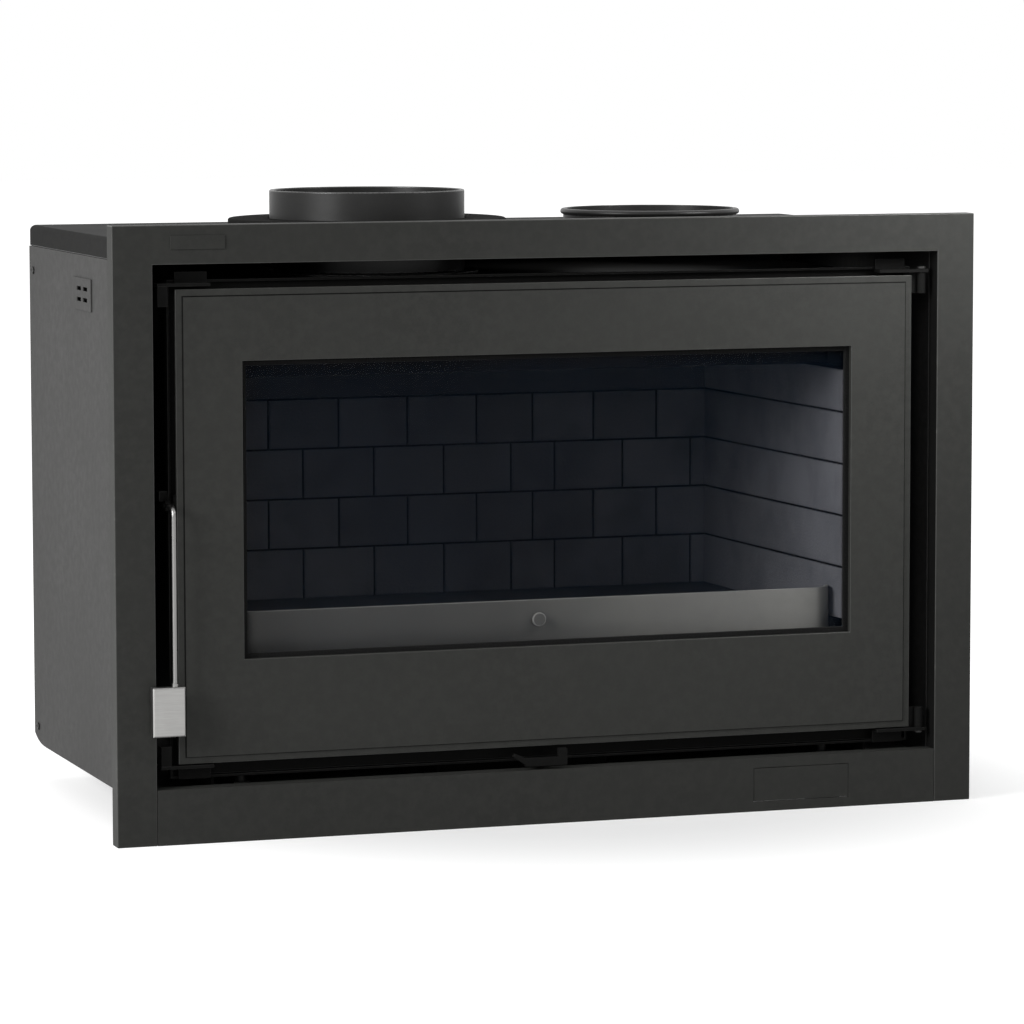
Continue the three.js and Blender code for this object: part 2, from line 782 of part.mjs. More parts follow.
// A side wall that leans in towards the rear. side is -1 at the left and 1 at the right.
function sideLining(side) {
  const inner = side < 0 ? doorWindow.left : doorWindow.right;
  const outer = side < 0 ? lining.outerLeft : lining.outerRight;
  const rearInner = inner - side * liningTaper;
  const back = liningRearFace;
  const plan = [[outer, liningFront], [inner, liningFront], [rearInner, back], [outer, back]];
  if (side > 0) plan.reverse();
  const wall = prism("z", plan, lining.bottom, liningTop);
  const groovePlan = [
    [inner + side * mortarDepth, liningFront - cutOver],
    [inner - side * cutOver, liningFront - cutOver],
    [rearInner - side * cutOver, back + cutOver],
    [rearInner + side * mortarDepth, back + cutOver],
  ];
  if (side > 0) groovePlan.reverse();
  const half = mortarWidth / 2;
  const grooves = [];
  for (let n = 1; n <= courses; n++)
    grooves.push(prism("z", groovePlan, courseLine(n) - half, courseLine(n) + half));
  return cut(wall, ...grooves);
}

function hearthSlab() {
  return box(
    [lining.outerLeft, lining.outerRight],
    [hearthFront, lining.rearBack],
    [hearthTop - hearthThickness, hearthTop],
  );
}

function bafflePlate() {
  const x = [lining.outerLeft, lining.outerRight];
  const base = liningTop + touch;
  return box(x, [baffleFront, lining.rearBack], [base, base + baffleThickness]);
}

const lipFront = seat.back + logLipSetback;
// how far the side walls have leaned in where the lip's ends stop
const lipTaper = (liningTaper * (lipFront + logLipBend - liningFront)) / (liningRearFace - liningFront);
const lip = {
  left: doorWindow.left + lipTaper + logLipGap,
  right: doorWindow.right - lipTaper - logLipGap,
  front: lipFront,
};

// A plate across the hearth's front whose ends curve back.
function logRetainer() {
  const { left, right, front } = lip;
  const r = logLipBend;
  const t = retainerPlate;
  const plan = new THREE.Shape();
  plan.moveTo(left + r, front);
  plan.lineTo(right - r, front);
  plan.absarc(right - r, front + r, r, -Math.PI / 2, 0, false);
  plan.lineTo(right - t, front + r);
  plan.absarc(right - r, front + r, r - t, 0, -Math.PI / 2, true);
  plan.lineTo(left + r, front + t);
  plan.absarc(left + r, front + r, r - t, -Math.PI / 2, -Math.PI, true);
  plan.lineTo(left, front + r);
  plan.absarc(left + r, front + r, r, -Math.PI, -Math.PI / 2, false);
  return prism("z", plan, hearthTop - hearthThickness, logLipTop);
}

// A round knob on a neck, in front of the retainer's face.
function retainerKnob() {
  const y = [lip.front - touch - knobReach, lip.front - touch];
  const at = [hearthTop + knobRise, windowMiddle - knobShift];
  const round = bar("y", at, knobRadius, y[0], y[1] - knobNeckLength, 32);
  const neck = bar("y", at, knobNeckRadius, y[1] - knobNeckLength - cutOver, y[1], 16);
  return join(round, neck);
}

place("firebox_face_frame", fireboxFaceFrame(), materials.darkSteel);
place("firebox_shell", fireboxShell(), materials.darkSteel);
place("lining_rear", rearLining(), materials.refractory);
place("lining_left", sideLining(-1), materials.refractory);
place("lining_right", sideLining(1), materials.refractory);
place("hearth_slab", hearthSlab(), materials.refractory);
place("baffle_plate", bafflePlate(), materials.refractory);
place("log_retainer", logRetainer(), materials.lipSteel);
place("retainer_knob", retainerKnob(), materials.lipSteel);

// ---------------------------------------------------------------- casing
// The side's outline in (y, z), with the lower rear corner swept up.
function sideOutline() {
  const shape = new THREE.Shape();
  shape.moveTo(casing.front, casingBase);
  shape.lineTo(casingRear - sweepLength, casingBase);
  shape.quadraticCurveTo(casingRear - sweepLength / 3, casingBase, casingRear, casingBase + sweepRise);
  shape.lineTo(casingRear, casing.skirtBase - touch);
  shape.lineTo(casing.front, casing.skirtBase - touch);
  return shape;
}

// sheet(from, to) gives a span of X on a side, mirrored for the right-hand one.
const sideSpan = (side, from, to) =>
  side < 0 ? [casing.left + from, casing.left + to] : [casing.right - to, casing.right - from];

function sidePanel(side) {
  const wall = prism("x", sideOutline(), ...sideSpan(side, 0, casingSheet));
  const front = [casing.front, casing.front + casingSheet];
  const folded = sideSpan(side, casingSheet / 2, panelFlange);
  const flange = box(folded, front, [casingBase, casing.skirtBase - touch]);
  const shelfZ = [casing.skirtBase - touch - casingSheet, casing.skirtBase - touch];
  const shelf = box(folded, [casing.front, casing.seam], shelfZ);
  const behind = [casing.seam - touch, casingRear + cutOver];
  const rearCut = box(sideSpan(side, -cutOver, panelFlange + cutOver), behind, [0, casingTop]);
  return cut(join(wall, flange, shelf), rearCut);
}

const hatch = {
  front: hatchFront,
  back: hatchFront + hatchWidth,
  bottom: casingTop - hatchDrop,
  top: casingTop - hatchDrop + hatchHeight,
};

function leftPanel() {
  const opening = box(
    sideSpan(-1, -cutOver, casingSheet + cutOver),
    [hatch.front + hatchLap, hatch.back - hatchLap],
    [hatch.bottom + hatchLap, hatch.top - hatchLap],
  );
  return cut(sidePanel(-1), opening);
}

function sideHatchPlate() {
  const x = [casing.left - touch - hatchSheet, casing.left - touch];
  const plate = box(x, [hatch.front, hatch.back], [hatch.bottom, hatch.top]);
  const midY = (hatch.front + hatch.back) / 2;
  const midZ = (hatch.bottom + hatch.top) / 2;
  const slots = [-0.5, 0.5].flatMap((i) =>
    [-0.5, 0.5].map((j) => {
      const y = midY + i * hatchSlotPitchX;
      const z = midZ + j * hatchSlotPitchZ;
      return box(
        [x[0] - cutOver, x[1] + cutOver],
        [y - hatchSlotWidth / 2, y + hatchSlotWidth / 2],
        [z - hatchSlotHeight / 2, z + hatchSlotHeight / 2],
      );
    }),
  );
  return cut(plate, ...slots);
}

const screwY = casingRear - screwFromRear;
const screwHeights = {
  bottom: casingBase + screwBottomRise,
  top: casingTop - screwTopDrop,
};

function rearPanel() {
  const wraps = [-1, 1].map((side) => {
    const whole = prism("x", sideOutline(), ...sideSpan(side, 0, casingSheet));
    const through = sideSpan(side, -cutOver, casingSheet + cutOver);
    const keep = box(through, [casing.seam, casingRear + cutOver], [0, casingTop]);
    const bores = Object.values(screwHeights).map((z) =>
      bar("x", [screwY, z], screwShankRadius + touch, ...through, 12),
    );
    return cut(whole.intersect(keep), ...bores);
  });
  const back = box(
    [casing.left, casing.right],
    [casingRear - casingSheet, casingRear],
    [casingBase + sweepRise, casing.skirtBase - touch],
  );
  return join(back, ...wraps);
}

// A lid with rounded upper edges and a skirt all round, open below, with the outlets' holes.
function topCover() {
  const lid = (inset, base) => {
    const x = [casing.left + skirtInset + inset, casing.right - skirtInset - inset];
    const y = [casing.front + casingSheet + touch + inset, casingRear - inset];
    const top = casingTop - inset;
    const r = Math.max(coverEdgeRadius - inset, cutOver);
    const rounded = (from, to) => {
      const shape = new THREE.Shape();
      shape.moveTo(from, base);
      shape.lineTo(to, base);
      shape.lineTo(to, top - r);
      shape.absarc(to - r, top - r, r, 0, Math.PI / 2, false);
      shape.lineTo(from + r, top);
      shape.absarc(from + r, top - r, r, Math.PI / 2, Math.PI, false);
      return shape;
    };
    const along = prism("x", rounded(...y), ...x);
    const turnedOutline = rounded(...x).getPoints(6).map((p) => [p.y, p.x]).reverse();
    return along.intersect(prism("y", turnedOutline, ...y));
  };
  const hole = (at, radius) => bar("z", at, radius, coverTopBottom - cutOver, casingTop + cutOver, 48);
  return cut(
    lid(0, casing.skirtBase),
    lid(casingSheet, casing.skirtBase - cutOver),
    hole(outlets.flue, flueRadius + outletPlay),
    hole(outlets.air, airRadius - airWall),
  );
}

const feet = [
  ["front_left", footInset, footFront],
  ["front_right", surroundWidth - footInset, footFront],
  ["rear_left", footInset, casingRear - footFromRear],
  ["rear_right", surroundWidth - footInset, casingRear - footFromRear],
];

function basePanel() {
  const x = [casing.left + casingSheet + touch, casing.right - casingSheet - touch];
  const y = [casing.front + casingSheet + touch, casingRear - sweepLength];
  const z = [casingBase, casing.baseTop];
  const through = [casingBase - cutOver, casing.baseTop + cutOver];
  const bores = feet.map(([, fx, fy]) => bar("z", [fx, fy], footStemRadius + footBore, ...through));
  const inlet = box(
    [airBox.left + inletLap, airBox.right - inletLap],
    [airBox.front + inletLap, airBox.back - inletLap],
    through,
  );
  return cut(box(x, y, z), ...bores, inlet);
}

function levellingFoot(x, y) {
  const flat = bar("z", [x, y], footPadRadius, 0, footPadHeight, 32);
  return join(flat, bar("z", [x, y], footStemRadius, footPadHeight - cutOver, footStemTop));
}

function footNut(x, y) {
  const base = casing.baseTop + touch;
  const hexagon = bar("z", [x, y], nutRadius, base, base + nutHeight, 6);
  const through = [base - cutOver, base + nutHeight + cutOver];
  return cut(hexagon, bar("z", [x, y], footStemRadius + footBore, ...through));
}

function casingScrew(side, z) {
  const span = (from, to) => sideSpan(side, from, to);
  const head = bar("x", [screwY, z], screwHeadRadius, ...span(-touch - screwHeadHeight, -touch), 16);
  const shankSpan = span(-touch - screwHeadHeight / 2, screwShankLength);
  const shank = bar("x", [screwY, z], screwShankRadius, ...shankSpan, 12);
  return join(head, shank);
}

const airBox = {
  left: leverX - airBoxWidth / 2,
  right: leverX + airBoxWidth / 2,
  front: airBoxFront,
  back: airBoxFront + airBoxDepth,
};

place("casing_left_panel", leftPanel(), materials.casingPaint);
place("casing_right_panel", sidePanel(1), materials.casingPaint);
place("casing_rear_panel", rearPanel(), materials.casingPaint);
place("casing_top_cover", topCover(), materials.coverPaint);
place("casing_base_panel", basePanel(), materials.casingPaint);
place("side_hatch_plate", sideHatchPlate(), materials.casingPaint);
for (const [sideName, side] of [["left", -1], ["right", 1]])
  for (const [level, z] of Object.entries(screwHeights))
    place(`casing_screw_${sideName}_${level}`, casingScrew(side, z), materials.zinc);
for (const [name, x, y] of feet) {
  place(`levelling_foot_${name}`, levellingFoot(x, y), materials.zinc);
  place(`foot_nut_${name}`, footNut(x, y), materials.zinc);
}

// ---------------------------------------------------------------- outlets
function flueCollar() {
  const base = shellTop + touch;
  const inner = flueRadius - flueWall;
  return turned([
    [inner, base],
    [flueRadius + flueFlange, base],
    [flueRadius + flueFlange, base + flueFlangeSheet],
    [flueRadius, base + flueFlangeSheet],
    [flueRadius, flueTop - rimChamfer],
    [flueRadius - rimChamfer, flueTop],
    [inner + rimChamfer, flueTop],
    [inner, flueTop - rimChamfer],
  ], outlets.flue);
}

function flueBaseRing() {
  const base = casingTop + touch;
  const top = base + pedestalHeight;
  const inner = flueRadius + outletPlay;
  return turned([
    [inner, base],
    [pedestalRadius, base],
    [pedestalRadius, top - pedestalEdge],
    [pedestalRadius - pedestalEdge, top],
    [inner, top],
  ], outlets.flue);
}

// A short spigot with a foot flange and a rolled rim.
function hotAirCollar() {
  const base = casingTop + touch;
  const inner = airRadius - airWall;
  const rimMiddle = airTop - airRimRadius;
  const roll = [-0.5, -0.25, 0, 0.25, 0.5].map((turn) => [
    airRadius + airRimRadius * Math.cos(turn * Math.PI),
    rimMiddle + airRimRadius * Math.sin(turn * Math.PI),
  ]);
  return turned([
    [inner, base],
    [airRadius + airFlange, base],
    [airRadius + airFlange, base + airFlangeSheet],
    [airRadius, base + airFlangeSheet],
    ...roll,
    [inner, airTop],
  ], outlets.air);
}

place("flue_collar", flueCollar(), materials.castIron);
place("flue_base_ring", flueBaseRing(), materials.castIron);
place("hot_air_collar", hotAirCollar(), materials.castIron);

// ---------------------------------------------------------------- air control
const airMiddle = airBoxFront + airBoxDepth / 2;

// The ports that the box and the slide share, as cutters between two heights.
function airPorts(from, to) {
  const y = [airMiddle - portDepth / 2, airMiddle + portDepth / 2];
  return Array.from({ length: portCount }, (_, i) => {
    const x = leverX + (i - (portCount - 1) / 2) * portPitch;
    return box([x - portWidth / 2, x + portWidth / 2], y, [from - cutOver, to + cutOver]);
  });
}

function airControlBox() {
  const x = [airBox.left, airBox.right];
  const y = [airBox.front, airBox.back];
  const base = casing.baseTop + touch;
  const hollow = box(
    [x[0] + airBoxSheet, x[1] - airBoxSheet],
    [y[0] + airBoxSheet, y[1] - airBoxSheet],
    [base - cutOver, airBoxTop - airBoxSheet],
  );
  return cut(box(x, y, [base, airBoxTop]), hollow, ...airPorts(airBoxTop - airBoxSheet, airBoxTop));
}

function airSlidePlate() {
  const base = airBoxTop + touch;
  const plate = box(
    [leverX - slideWidth / 2, leverX + slideWidth / 2],
    [airMiddle - slideDepth / 2, airMiddle + slideDepth / 2],
    [base, base + slideSheet],
  );
  return cut(plate, ...airPorts(base, base + slideSheet));
}

// A grip with a bent tip and an upright tab, on a flat stem that steps up onto the slide plate.
function airControlLever() {
  const gripX = [leverX + gripShift - leverWidth / 2, leverX + gripShift + leverWidth / 2];
  const gripY = [leverFront, leverFront + leverThickness];
  const gripZ = [bottomBarHeight + leverLift, bottomBarHeight + leverLift + leverHeight];
  const grip = box(gripX, gripY, gripZ);
  const tip = prism("y", [
    [gripZ[0] + cutOver, gripX[0] + cutOver],
    [gripZ[1], gripX[0] + cutOver],
    [gripZ[1] + leverTipRise, gripX[0] - leverTipReach + leverTipSlant],
    [gripZ[1] + leverTipRise - leverTipEnd, gripX[0] - leverTipReach],
  ].reverse(), ...gripY);
  const tab = box([gripX[1] - leverTabWidth, gripX[1]], gripY, [gripZ[0] + cutOver, gripZ[1] + leverTabRise]);
  const stemX = [leverX - stemWidth / 2, leverX + stemWidth / 2];
  const stemZ = [bottomBarHeight + stemLift, bottomBarHeight + stemLift + stemSheet];
  const upperZ = airBoxTop + touch + slideSheet + touch;
  const run = box(stemX, [gripY[1] - 1, stemRiser + stemSheet], stemZ);
  const riser = box(stemX, [stemRiser, stemRiser + stemSheet], [stemZ[0], upperZ + stemSheet]);
  const footY = [stemRiser, airMiddle - slideDepth / 2 + stemFoot];
  const foot = box(stemX, footY, [upperZ, upperZ + stemSheet]);
  return join(grip, tip, tab, run, riser, foot);
}

place("air_box", airControlBox(), materials.darkSteel);
place("air_slide_plate", airSlidePlate(), materials.zinc);
place("air_control_lever", airControlLever(), materials.darkSteel);

// ---------------------------------------------------------------- the part's own frame
// The origin is on the floor, below the middle of the whole insert.
insert.position.set(-surroundWidth / 2, -(casingRear + frontmost) / 2, 0);
const fireplaceInsert = new THREE.Group();
fireplaceInsert.add(insert);

export default fireplaceInsert;
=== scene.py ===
"""A built-in fireplace insert: finished pieces, materials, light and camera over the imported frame.

Lengths are metres in the frame's own axes: the front faces -Y and +X is to the viewer's right.
"""

import json
import math
import random

import bmesh
import bpy
from mathutils import Matrix, Vector, noise


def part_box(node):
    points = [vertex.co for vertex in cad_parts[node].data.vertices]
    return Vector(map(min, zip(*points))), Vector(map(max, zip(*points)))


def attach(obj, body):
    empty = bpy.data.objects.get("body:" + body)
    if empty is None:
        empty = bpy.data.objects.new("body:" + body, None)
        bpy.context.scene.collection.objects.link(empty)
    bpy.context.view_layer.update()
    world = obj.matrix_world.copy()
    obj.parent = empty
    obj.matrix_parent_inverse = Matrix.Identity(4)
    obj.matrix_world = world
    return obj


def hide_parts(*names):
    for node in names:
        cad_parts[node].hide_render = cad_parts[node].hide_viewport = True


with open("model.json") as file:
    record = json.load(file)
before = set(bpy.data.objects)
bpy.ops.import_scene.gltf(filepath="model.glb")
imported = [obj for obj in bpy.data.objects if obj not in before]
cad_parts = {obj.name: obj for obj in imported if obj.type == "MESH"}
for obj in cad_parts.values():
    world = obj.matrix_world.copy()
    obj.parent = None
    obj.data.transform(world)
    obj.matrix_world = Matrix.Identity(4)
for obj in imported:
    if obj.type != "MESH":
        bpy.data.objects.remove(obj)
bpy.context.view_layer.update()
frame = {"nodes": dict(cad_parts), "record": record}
nodes = frame["nodes"]
record = frame["record"]
body_of = {node: body for body, members in record["behaviour"]["bodies"].items() for node in members}
slot_of = {row["node"]: row["material_slot"] for row in record["subparts"]}

MERGE = 1e-5  # vertices closer than this are one
FLAT = math.radians(0.5)  # facets that turn less than this are one face
SHARP = math.radians(38)  # edges that turn more than this are rounded


# ---------------------------------------------------------------- materials
MIX_FACTOR, MIX_FIRST, MIX_SECOND = 0, 6, 7  # a Mix node's inputs when it mixes colours
MIX_RESULT = 2


class Shader:
    """One material, with short calls that add nodes to it. Sizes in its patterns are metres."""

    def __init__(self, name):
        self.material = bpy.data.materials.new(name)
        self.material.use_nodes = True
        self.nodes = self.material.node_tree.nodes
        self.links = self.material.node_tree.links
        self.nodes.clear()
        self.output = self.nodes.new("ShaderNodeOutputMaterial")
        self.surface = self.nodes.new("ShaderNodeBsdfPrincipled")
        self.links.new(self.surface.outputs["BSDF"], self.output.inputs["Surface"])
        self.coordinates = self.nodes.new("ShaderNodeTexCoord").outputs["Object"]

    def feed(self, value, socket):
        if isinstance(value, bpy.types.NodeSocket):
            self.links.new(value, socket)
        else:
            socket.default_value = value

    def set(self, values):
        for name, value in values.items():
            self.feed(value, self.surface.inputs[name])

    def mapped(self, size, stretch=(1, 1, 1)):
        """Coordinates in which a pattern's unit is size metres, drawn out along each axis by stretch."""
        mapping = self.nodes.new("ShaderNodeMapping")
        mapping.inputs["Scale"].default_value = [1 / (size * s) for s in stretch]
        self.links.new(self.coordinates, mapping.inputs["Vector"])
        return mapping.outputs["Vector"]

    def noise(self, size, detail=3.0, stretch=(1, 1, 1), rough=0.5):
        texture = self.nodes.new("ShaderNodeTexNoise")
        texture.inputs["Scale"].default_value = 1
        texture.inputs["Detail"].default_value = detail
        texture.inputs["Roughness"].default_value = rough
        self.links.new(self.mapped(size, stretch), texture.inputs["Vector"])
        return texture.outputs["Fac"]

    def cells(self, size):
        texture = self.nodes.new("ShaderNodeTexVoronoi")
        texture.inputs["Scale"].default_value = 1
        self.links.new(self.mapped(size), texture.inputs["Vector"])
        return texture.outputs["Distance"]

    def bands(self, size, axis):
        texture = self.nodes.new("ShaderNodeTexWave")
        texture.bands_direction = axis
        texture.inputs["Scale"].default_value = 1
        self.links.new(self.mapped(size), texture.inputs["Vector"])
        return texture.outputs["Fac"]

    def attribute(self, name):
        node = self.nodes.new("ShaderNodeAttribute")
        node.attribute_name = name
        return node.outputs["Fac"]

    def along(self, axis):
        node = self.nodes.new("ShaderNodeSeparateXYZ")
        self.links.new(self.coordinates, node.inputs["Vector"])
        return node.outputs[axis]

    def spread(self, value, low, high, start=0.3, end=0.7):
        """value from start to end as a number from low to high."""
        node = self.nodes.new("ShaderNodeMapRange")
        self.links.new(value, node.inputs["Value"])
        node.inputs["From Min"].default_value = start
        node.inputs["From Max"].default_value = end
        node.inputs["To Min"].default_value = low
        node.inputs["To Max"].default_value = high
        return node.outputs["Result"]

    def compute(self, operation, *values):
        node = self.nodes.new("ShaderNodeMath")
        node.operation = operation
        for value, socket in zip(values, node.inputs):
            self.feed(value, socket)
        return node.outputs["Value"]

    def between(self, factor, first, second):
        """A colour from first to second."""
        node = self.nodes.new("ShaderNodeMix")
        node.data_type = "RGBA"
        self.feed(factor, node.inputs[MIX_FACTOR])
        self.feed(first, node.inputs[MIX_FIRST])
        self.feed(second, node.inputs[MIX_SECOND])
        return node.outputs[MIX_RESULT]

    def bump(self, height, depth, over=None):
        node = self.nodes.new("ShaderNodeBump")
        node.inputs["Distance"].default_value = depth
        self.links.new(height, node.inputs["Height"])
        if over:
            self.links.new(over, node.inputs["Normal"])
        return node.outputs["Normal"]


def tinted(colour, factor):
    return (*(channel * factor for channel in colour), 1.0)


CLOUD = 0.16  # size of a paint's broad clouds
CLOUD_TONES = (0.9, 1.1)
BLOTCH = 0.009
BLOTCH_TONE = 1.3
SPECK_TONE = 1.4
SPECK_SHARE = 0.7  # a speck's size as a share of the grain's
WAVE = 0.03  # size and depth of the faint waves in a painted surface
WAVE_DEPTH = 0.0002


def paint(name, colour, roughness, gloss, grain=0.0009, relief=0.00005):
    """Heat-resistant paint: a fine pebbled skin, small blotches and faint broad clouds."""
    s = Shader(name)
    cloud = s.noise(CLOUD, detail=5)
    blotch = s.spread(s.noise(BLOTCH, detail=4, rough=0.6), 0, 0.8, 0.4, 0.66)
    speck = s.spread(s.noise(grain * SPECK_SHARE, detail=2), 0, 0.8, 0.45, 0.75)
    broad = s.between(s.spread(cloud, 0, 1), *(tinted(colour, tone) for tone in CLOUD_TONES))
    patchy = s.between(blotch, broad, tinted(colour, BLOTCH_TONE))
    skin = s.bump(s.noise(grain, detail=3), relief)
    s.set({
        "Base Color": s.between(speck, patchy, tinted(colour, SPECK_TONE)),
        "Roughness": s.spread(cloud, roughness - 0.05, roughness + 0.06),
        "Specular IOR Level": gloss,
        "Normal": s.bump(s.noise(WAVE, detail=2), WAVE_DEPTH, over=skin),
    })
    return s.material


PAINTED_LIGHT_SPAN = (-0.04, 0.28)  # where painted light starts to lighten the sheet, and where it is full
# the sheet's tones at its shaded left and its lit right-hand end: painted light
PAINTED_LIGHT_TONES = (0.72, 2.8)
MILL_SCALE = 0.012
MILL_SCALE_TONE = 0.6
STREAK = 0.0006


def sheet_with_painted_light(name, colour, roughness, gloss):
    """Heat-dulled sheet with patches of scale, painted lighter towards the right-hand end as painted
    light.
    """
    s = Shader(name)
    scale = s.spread(s.noise(MILL_SCALE, detail=5, rough=0.6), 0, 0.12)
    # painted light: the sheet is coloured darker at its left-hand end and lighter towards the right
    own = s.between(s.spread(s.along("X"), 0, 1, *PAINTED_LIGHT_SPAN), *(tinted(colour, tone) for tone in PAINTED_LIGHT_TONES))
    streaks = s.noise(STREAK, detail=3, stretch=(30, 1, 1))
    s.set({
        "Base Color": s.between(scale, own, tinted(colour, MILL_SCALE_TONE)),
        "Roughness": s.spread(streaks, roughness - 0.06, roughness + 0.06),
        "Specular IOR Level": gloss,
        "Normal": s.bump(streaks, 0.00003),
    })
    return s.material


RUB = 0.009  # size of a rubbed place
# how much lighter an edge is than its face: a painted highlight
EDGE_HIGHLIGHT_TONE = 1.3
BARE_STEEL = (0.11, 0.11, 0.105, 1)


def highlit_rubbed_edge(name, colour, roughness, gloss):
    """Painted edges: lighter as a painted highlight, smoother, and here and there rubbed to grey steel."""
    s = Shader(name)
    rubbed = s.spread(s.noise(RUB, detail=5, rough=0.65), 0, 0.4, 0.58, 0.74)
    s.set({
        "Base Color": s.between(rubbed, tinted(colour, EDGE_HIGHLIGHT_TONE), BARE_STEEL),
        "Roughness": s.spread(s.noise(0.004), roughness - 0.08, roughness + 0.05),
        "Specular IOR Level": gloss,
        "Normal": s.bump(s.noise(0.0012), 0.00004),
    })
    return s.material


BRUSH_LINE = 0.0003
BRUSH_CLOUD = 0.02


def brushed_steel(name, colour, roughness, stretch):
    """Steel with fine lines drawn out along one axis."""
    s = Shader(name)
    lines = s.noise(BRUSH_LINE, detail=4, stretch=stretch)
    clouds = s.noise(BRUSH_CLOUD, detail=3)
    s.set({
        "Base Color": s.between(s.spread(lines, 0, 1), tinted(colour, 0.86), tinted(colour, 1.06)),
        "Metallic": 1.0,
        "Roughness": s.spread(clouds, roughness - 0.04, roughness + 0.06),
        "Normal": s.bump(lines, 0.00003),
    })
    return s.material


ZINC_PATCH = 0.006
ZINC_CRYSTAL = 0.0012


def black_zinc(name, colour, roughness):
    """Black-passivated zinc plate: dull patches with a fine crystal grain."""
    s = Shader(name)
    patch = s.noise(ZINC_PATCH, detail=4)
    crystal = s.cells(ZINC_CRYSTAL)
    s.set({
        "Base Color": s.between(s.spread(patch, 0, 1), tinted(colour, 0.75), tinted(colour, 1.1)),
        "Metallic": 0.6,
        "Roughness": s.spread(crystal, roughness - 0.08, roughness + 0.1, 0.1, 0.7),
        "Normal": s.bump(s.noise(0.0008), 0.00003),
    })
    return s.material


BRICK_TONES = (0.05, 2.5)
SOOT_PATCH = 0.07
MIDDLE_DARKENING_REACH = (0.04, 0.24)  # the distances from the middle over which the darkening fades
SAND = 0.0016
SAND_TONE = 1.9
PIT = 0.0035
PIT_DEPTH = 0.0003
GRIT_DEPTH = 0.0005


def refractory(name, colour, mortar, soot):
    """Moulded firebrick: a tone of its own for each brick, sandy pits, dark joints, soot patches, and a
    darker tone midway between the side walls.

    A face's tone runs from 0, in the joints, through the dark and the pale bricks to 1.
    """
    s = Shader(name)
    tone = s.attribute("tone")
    sooty = s.spread(s.noise(SOOT_PATCH, detail=5, rough=0.6), 0, 0.35, 0.42, 0.7)
    sand = s.spread(s.noise(SAND, detail=4, rough=0.7), 0, 0.25)
    own = s.between(tone, *(tinted(colour, tone_end) for tone_end in BRICK_TONES))
    grainy = s.between(sand, own, tinted(colour, SAND_TONE))
    # darker midway between the side walls
    midway = s.spread(s.compute("ABSOLUTE", s.along("X")), 0.45, 0, *MIDDLE_DARKENING_REACH)
    face = s.between(midway, s.between(sooty, grainy, soot), soot)
    pits = s.bump(s.cells(PIT), PIT_DEPTH)
    s.set({
        "Base Color": s.between(s.spread(tone, 0, 1, 0, 0.02), mortar, face),
        "Roughness": 0.92,
        "Specular IOR Level": 0.2,
        "Normal": s.bump(s.noise(0.0015, detail=5, rough=0.65), GRIT_DEPTH, over=pits),
    })
    return s.material


FILM = 0.11  # size of the clouds in the smoky film
FILM_COLOURS = (0.0035, 0.0095, 0.02, 1), (0.0055, 0.013, 0.027, 1)


def ceramic_glass(name):
    """Clear ceramic glass with a faint smoky blue film."""
    s = Shader(name)
    film = s.noise(FILM, detail=3)
    s.set({
        "Base Color": s.between(s.spread(film, 0, 1), *FILM_COLOURS),
        "Roughness": s.spread(film, 0.03, 0.07),
        "Specular IOR Level": 0.12,
        "Alpha": s.spread(film, 0.09, 0.12),
    })
    s.material.surface_render_method = "BLENDED"
    return s.material


STRAND_DEPTH = 0.0006
FUZZ_DEPTH = 0.0003


def glass_fibre(name, colour, pitch):
    """Braided glass fibre: crossed strands with a soft fuzz."""
    s = Shader(name)
    weave = s.compute("MULTIPLY", s.bands(pitch, "X"), s.bands(pitch, "Z"))
    strands = s.bump(weave, STRAND_DEPTH)
    s.set({
        "Base Color": s.between(weave, tinted(colour, 0.6), tinted(colour, 1.5)),
        "Roughness": 0.95,
        "Sheen Weight": 0.05,
        "Sheen Roughness": 0.6,
        "Specular IOR Level": 0.1,
        "Normal": s.bump(s.noise(0.0006, detail=4), FUZZ_DEPTH, over=strands),
    })
    return s.material


# The edge colours below are lighter than their faces: painted highlights on rounded edges and on the
# knob's rim.
FRONT = (0.0236, 0.024, 0.0223)
DOOR = (0.0275, 0.028, 0.026)
PEDESTAL = (0.012, 0.012, 0.0117)
CASING = (0.058, 0.0575, 0.0566)
COVER = (0.019, 0.019, 0.0187)
COVER_EDGE_HIGHLIGHT = (0.08, 0.08, 0.079)
# the cover's top, painted lighter than its sides as painted light
COVER_TOP_LIT = (0.034, 0.034, 0.0335)
BLACK = (0.006, 0.006, 0.0058)
BLACK_EDGE_HIGHLIGHT = (0.01, 0.01, 0.0097)
IRON = (0.009, 0.009, 0.0087)
IRON_EDGE_HIGHLIGHT = (0.018, 0.018, 0.0176)
LIP = (0.105, 0.104, 0.098)
LIP_EDGE_HIGHLIGHT = (0.19, 0.188, 0.18)
BRICK = (0.08, 0.081, 0.09)
MORTAR = (0.008, 0.008, 0.01, 1)
SOOT = (0.016, 0.017, 0.021, 1)
STAINLESS = (0.335, 0.332, 0.324)
ROD = (0.24, 0.238, 0.232)
ZINC = (0.035, 0.035, 0.034)
ROPE = (0.009, 0.009, 0.009)
COARSE_GRAIN = 0.0014

